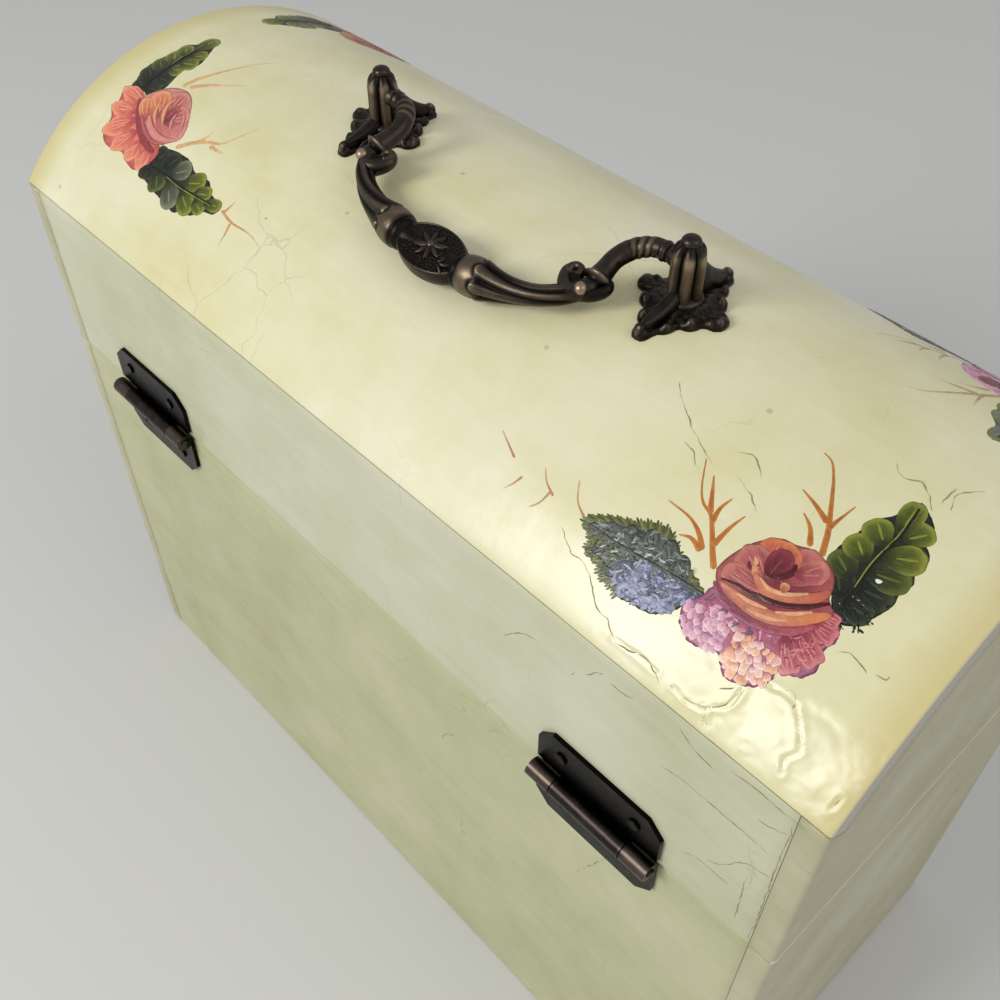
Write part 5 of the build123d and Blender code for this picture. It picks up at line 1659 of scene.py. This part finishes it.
def reed_tree():
    """Geometry nodes that stand copies of one reed round the post's axis."""
    tree, given = node_group("reeds_round_post", Reeds="NodeSocketInt", Start="NodeSocketFloat")
    stand = add(tree, "GeometryNodePoints", {"Count": given["Reeds"]})
    index = add(tree, "GeometryNodeInputIndex")
    share = add(tree, "ShaderNodeMath", {0: index, 1: given["Reeds"]}, operation="DIVIDE")
    angle = add(
        tree, "ShaderNodeMath", {0: share, 1: 2 * math.pi, 2: given["Start"]}, operation="MULTIPLY_ADD"
    )
    turn = add(tree, "ShaderNodeCombineXYZ", {"Z": angle})
    copies = add(tree, "GeometryNodeInstanceOnPoints", {
        "Points": stand, "Instance": given["Geometry"], "Rotation": turn
    })
    return close_group(tree, given, copies)


def fin(shells, centre_x, way):
    """One fin of a post, concave down to a knob on the plate's tip: high at the front and low at the rear."""
    knots = smooth_path(fin_knots, 0.3)
    if way > 0:
        knots = knots * (rear_reach, 1, 1)
        knots[:, 1] = np.where(knots[:, 1] > 2, 2 + low_fin * (knots[:, 1] - 2), knots[:, 1])
    section = [
        (-1, 0), (-1, 0.3), (-0.98, 0.6), (-0.86, 0.82), (-0.55, 0.95), (-0.18, 1.0), (0.18, 1.0),
        (0.55, 0.95), (0.86, 0.82), (0.98, 0.6), (1, 0.3), (1, 0),
    ]
    rings, wear = [], []
    for y, top, half in knots:
        base = dome_centre + math.sqrt((dome_radius + 0.2) ** 2 - y * y)
        top = max(crest + top, base + 0.3)
        spread = 1 + 0.35 * blend_in(9.0, 4.5, y) * (1 - np.array([b for a, b in section]))
        rings.append([
            (centre_x + half * a * wide, way * y, base + (top - base) * b)
            for (a, b), wide in zip(section, spread)
        ])
        knob = math.exp(-(((y - 14.7) / 0.8) ** 2))
        wear.append([0.1 + (0.3 + 0.55 * knob) * b**2 for a, b in section])
    shells.loft(rings, np.array(wear))


def reed_wear(points):
    """Reeds are rubbed along their outside and at their shoulders, and dark in the grooves."""
    out = np.hypot(points[:, 0], points[:, 1])
    shoulder = np.exp(-(((points[:, 2] - 10.6) / 1.4) ** 2))
    return np.clip(0.25 + 0.5 * blend_in(3.0, 3.9, out) + 0.3 * shoulder * blend_in(2.6, 3.4, out), 0, 1)


def cast_post(side_name, centre_x, material, reeds):
    shells = Shells()
    axis_foot = np.array([centre_x, 0, post_bottom])
    mesh_shell(shells, reeds, axis_foot, reed_wear)
    around = np.linspace(0, 2 * math.pi, 48, endpoint=False)
    rings = [
        axis_foot + np.stack([radius * np.cos(around), radius * np.sin(around), 0 * around + height], 1)
        for radius, height in core_profile
    ]
    # Dark behind the reeds, half rubbed on the foot and the cap
    core_wear = [0.05 if 0.8 < height < 12.4 else 0.5 for radius, height in core_profile]
    shells.loft(rings, np.array(core_wear)[:, None])
    for way in (1, -1):
        fin(shells, centre_x, way)
    inward = -1 if centre_x > 0 else 1
    collar = [(centre_x + inward * x, 0, bail_pivot[2]) for x in (1.2, 2.5, 3.9)]
    shells.tube(collar, [2.3, 2.3, 2.05], up=(0, 1, 0), sides=32, wear=0.5)
    shells.piece(f"post_{side_name}_casting", material, "lid", "antique_brass", [f"handle_{side_name}_post"])


# The plates: leaf-edged castings bent to the dome

plate_quarter = [
    (11.5, 0.0), (11.2, 1.5), (10.2, 2.6), (8.6, 3.0), (7.8, 3.7), (7.6, 5.0), (7.0, 6.2), (6.0, 6.9),
    (4.9, 7.2), (4.4, 8.1), (4.3, 9.6), (3.6, 11.0), (2.6, 11.8), (2.1, 13.2), (1.9, 14.8), (1.2, 15.8),
    (0.0, 16.0),
]
# Raised ends of the leaf's lobes: place, radius and height, the same in all four quarters
plate_lobes = [
    (9.9, 0.0, 1.6, 1.2), (6.1, 5.4, 1.4, 1.3), (8.9, 2.0, 0.8, 0.5), (3.2, 9.8, 1.1, 1.1),
    (0.0, 14.6, 1.3, 1.9)
]


def plate_edge(angle):
    """Distance from the plate's middle to its edge, in any direction."""
    fold = np.abs(np.arctan2(np.abs(np.sin(angle)), np.abs(np.cos(angle))))
    places = np.array(plate_quarter)
    return np.interp(fold, np.arctan2(places[:, 1], places[:, 0]), np.hypot(places[:, 0], places[:, 1]))


def plate_relief(x, y):
    """Height of the plate's casting over its thin web, at places from its middle."""
    x, y = np.abs(x), np.abs(y)
    height = 0.9 * blend_in(9.0, 4.0, np.hypot(x, y * 0.8))
    for at_x, at_y, radius, lift in plate_lobes:
        near = np.hypot(x - at_x, y - at_y) / radius
        height = np.maximum(height, lift * np.exp(-(near**2.4)))
        # A rib runs from each lobe's end in to the post
        length = math.hypot(at_x, at_y)
        along = np.clip((x * at_x + y * at_y) / length**2, 0.2, 1)
        off = np.hypot(x - along * at_x, y - along * at_y)
        height = np.maximum(height, (0.55 + 0.3 * along) * np.exp(-((off / 0.75) ** 2)))
    return height


def cast_plate(side_name, centre_x, material):
    shells = Shells()
    around = np.linspace(0, 2 * math.pi, 264, endpoint=False)
    edge = plate_edge(around)
    edge = edge * (1 + 0.012 * np.array([noise.noise((a * 3, centre_x, 0)) for a in around]))
    edge = np.minimum(edge, plate_quarter[-1][1])

    def laid(x, y, height):
        return on_dome(centre_x + x, np.where(y > 0, rear_reach * y, y), height)

    rings, wear = [], []
    for share in np.concatenate([np.linspace(0.04, 0.9, 26), [0.93, 0.955, 0.975, 0.99, 1.0, 1.0]]):
        x, y = share * edge * np.cos(around), share * edge * np.sin(around)
        lumps = np.array([noise.noise((a / 1.3, b / 1.3, centre_x)) for a, b in zip(x, y)])
        relief = plate_relief(x, y)
        rounded = math.sqrt(max(1 - (max(share - 0.88, 0) / 0.12) ** 2, 0.0))
        height = (0.95 + relief + 0.18 * lumps) * (0.45 + 0.55 * rounded)
        rings.append(laid(x, y, np.maximum(height, 0.3)))
        wear.append(0.12 + 0.42 * relief + 0.3 * lumps)
    under = [laid(share * edge * np.cos(around), share * edge * np.sin(around), 0) for share in (1, 0.04)]
    shells.loft(rings + under, np.clip(np.concatenate([wear, [0 * around, 0 * around]]), 0, 1))
    shells.piece(
        f"plate_{side_name}_casting", material, "lid", "antique_brass", [f"handle_{side_name}_plate"]
    )


def handle(material):
    cast_bail(material)
    reed = Shells()
    knots = smooth_path(reed_knots, 0.35)
    reed.tube([(r, 0, z) for r, z, half in knots], knots[:, 2], up=(0, 1, 0), sides=16)
    tree = reed_tree()
    # The two posts were screwed home to different turns
    for side_name, centre_x, turn in (("left", -post_x, 9), ("right", post_x, 30)):
        single = loose_object("reed", np.concatenate(reed.points), [], reed.faces)
        reeds = grown(single, tree, Reeds=reed_count, Finish=material, Start=math.radians(turn))
        cast_post(side_name, centre_x, material, reeds)
        bpy.data.meshes.remove(reeds)
        cast_plate(side_name, centre_x, material)


# Floor, world and lamps


def make_studio():
    floor_data = bpy.data.meshes.new("floor")
    reach = 6.0
    floor_data.from_pydata(
        [(-reach, -reach, 0), (reach, -reach, 0), (reach, reach, 0), (-reach, reach, 0)], [], [(0, 1, 2, 3)]
    )
    floor = bpy.data.objects.new("floor", floor_data)
    scene.collection.objects.link(floor)
    material, tree, shader, place = new_material("floor_pale")
    feed(tree, shader, {"Base Color": linear("#d8d8d6"), "Roughness": 0.8})
    floor_data.materials.append(material)
    world = bpy.data.worlds.new("studio")
    scene.world = world
    world.use_nodes = True
    sky = world.node_tree
    feed(sky, sky.nodes["Background"], {"Color": linear("#ffffff"), "Strength": 0.45})
    lamps = (("key", (0.28, 1.0, 0.84), 0.45, 8.0), ("fill", (-1.2, -0.3, 1.2), 1.2, 4.5))
    for name, place, size, power in lamps:
        data = bpy.data.lights.new(name, "AREA")
        data.size = size
        data.energy = power
        lamp = bpy.data.objects.new(name, data)
        scene.collection.objects.link(lamp)
        aim = Vector((0, 0, 0.12)) - Vector(place)
        lamp.matrix_world = Matrix.Translation(place) @ aim.to_track_quat("-Z", "Y").to_matrix().to_4x4()


make_camera()
make_studio()
wood = bare_wood("limewood_planed", 0)
end_wood = bare_wood("limewood_planed_ends", 1)
bronze = dark_bronze()
brass = antique_brass()
steel = bright_steel()
dome_and_boards(wood, end_wood)
for name, node in frame["nodes"].items():
    if name.startswith(("box_", "lid_")):
        finish = end_wood if name.endswith("end") else wood
    elif name.startswith(("hinge", "latch")):
        finish = bronze
    elif name.startswith(("handle_screws", "handle_washers")):
        finish = steel
    else:
        finish = brass
    node.data.materials.clear()
    node.data.materials.append(finish)
handle(brass)
cracks()
painted_sprays(oil_paint())

scene.view_settings.view_transform = "Standard"
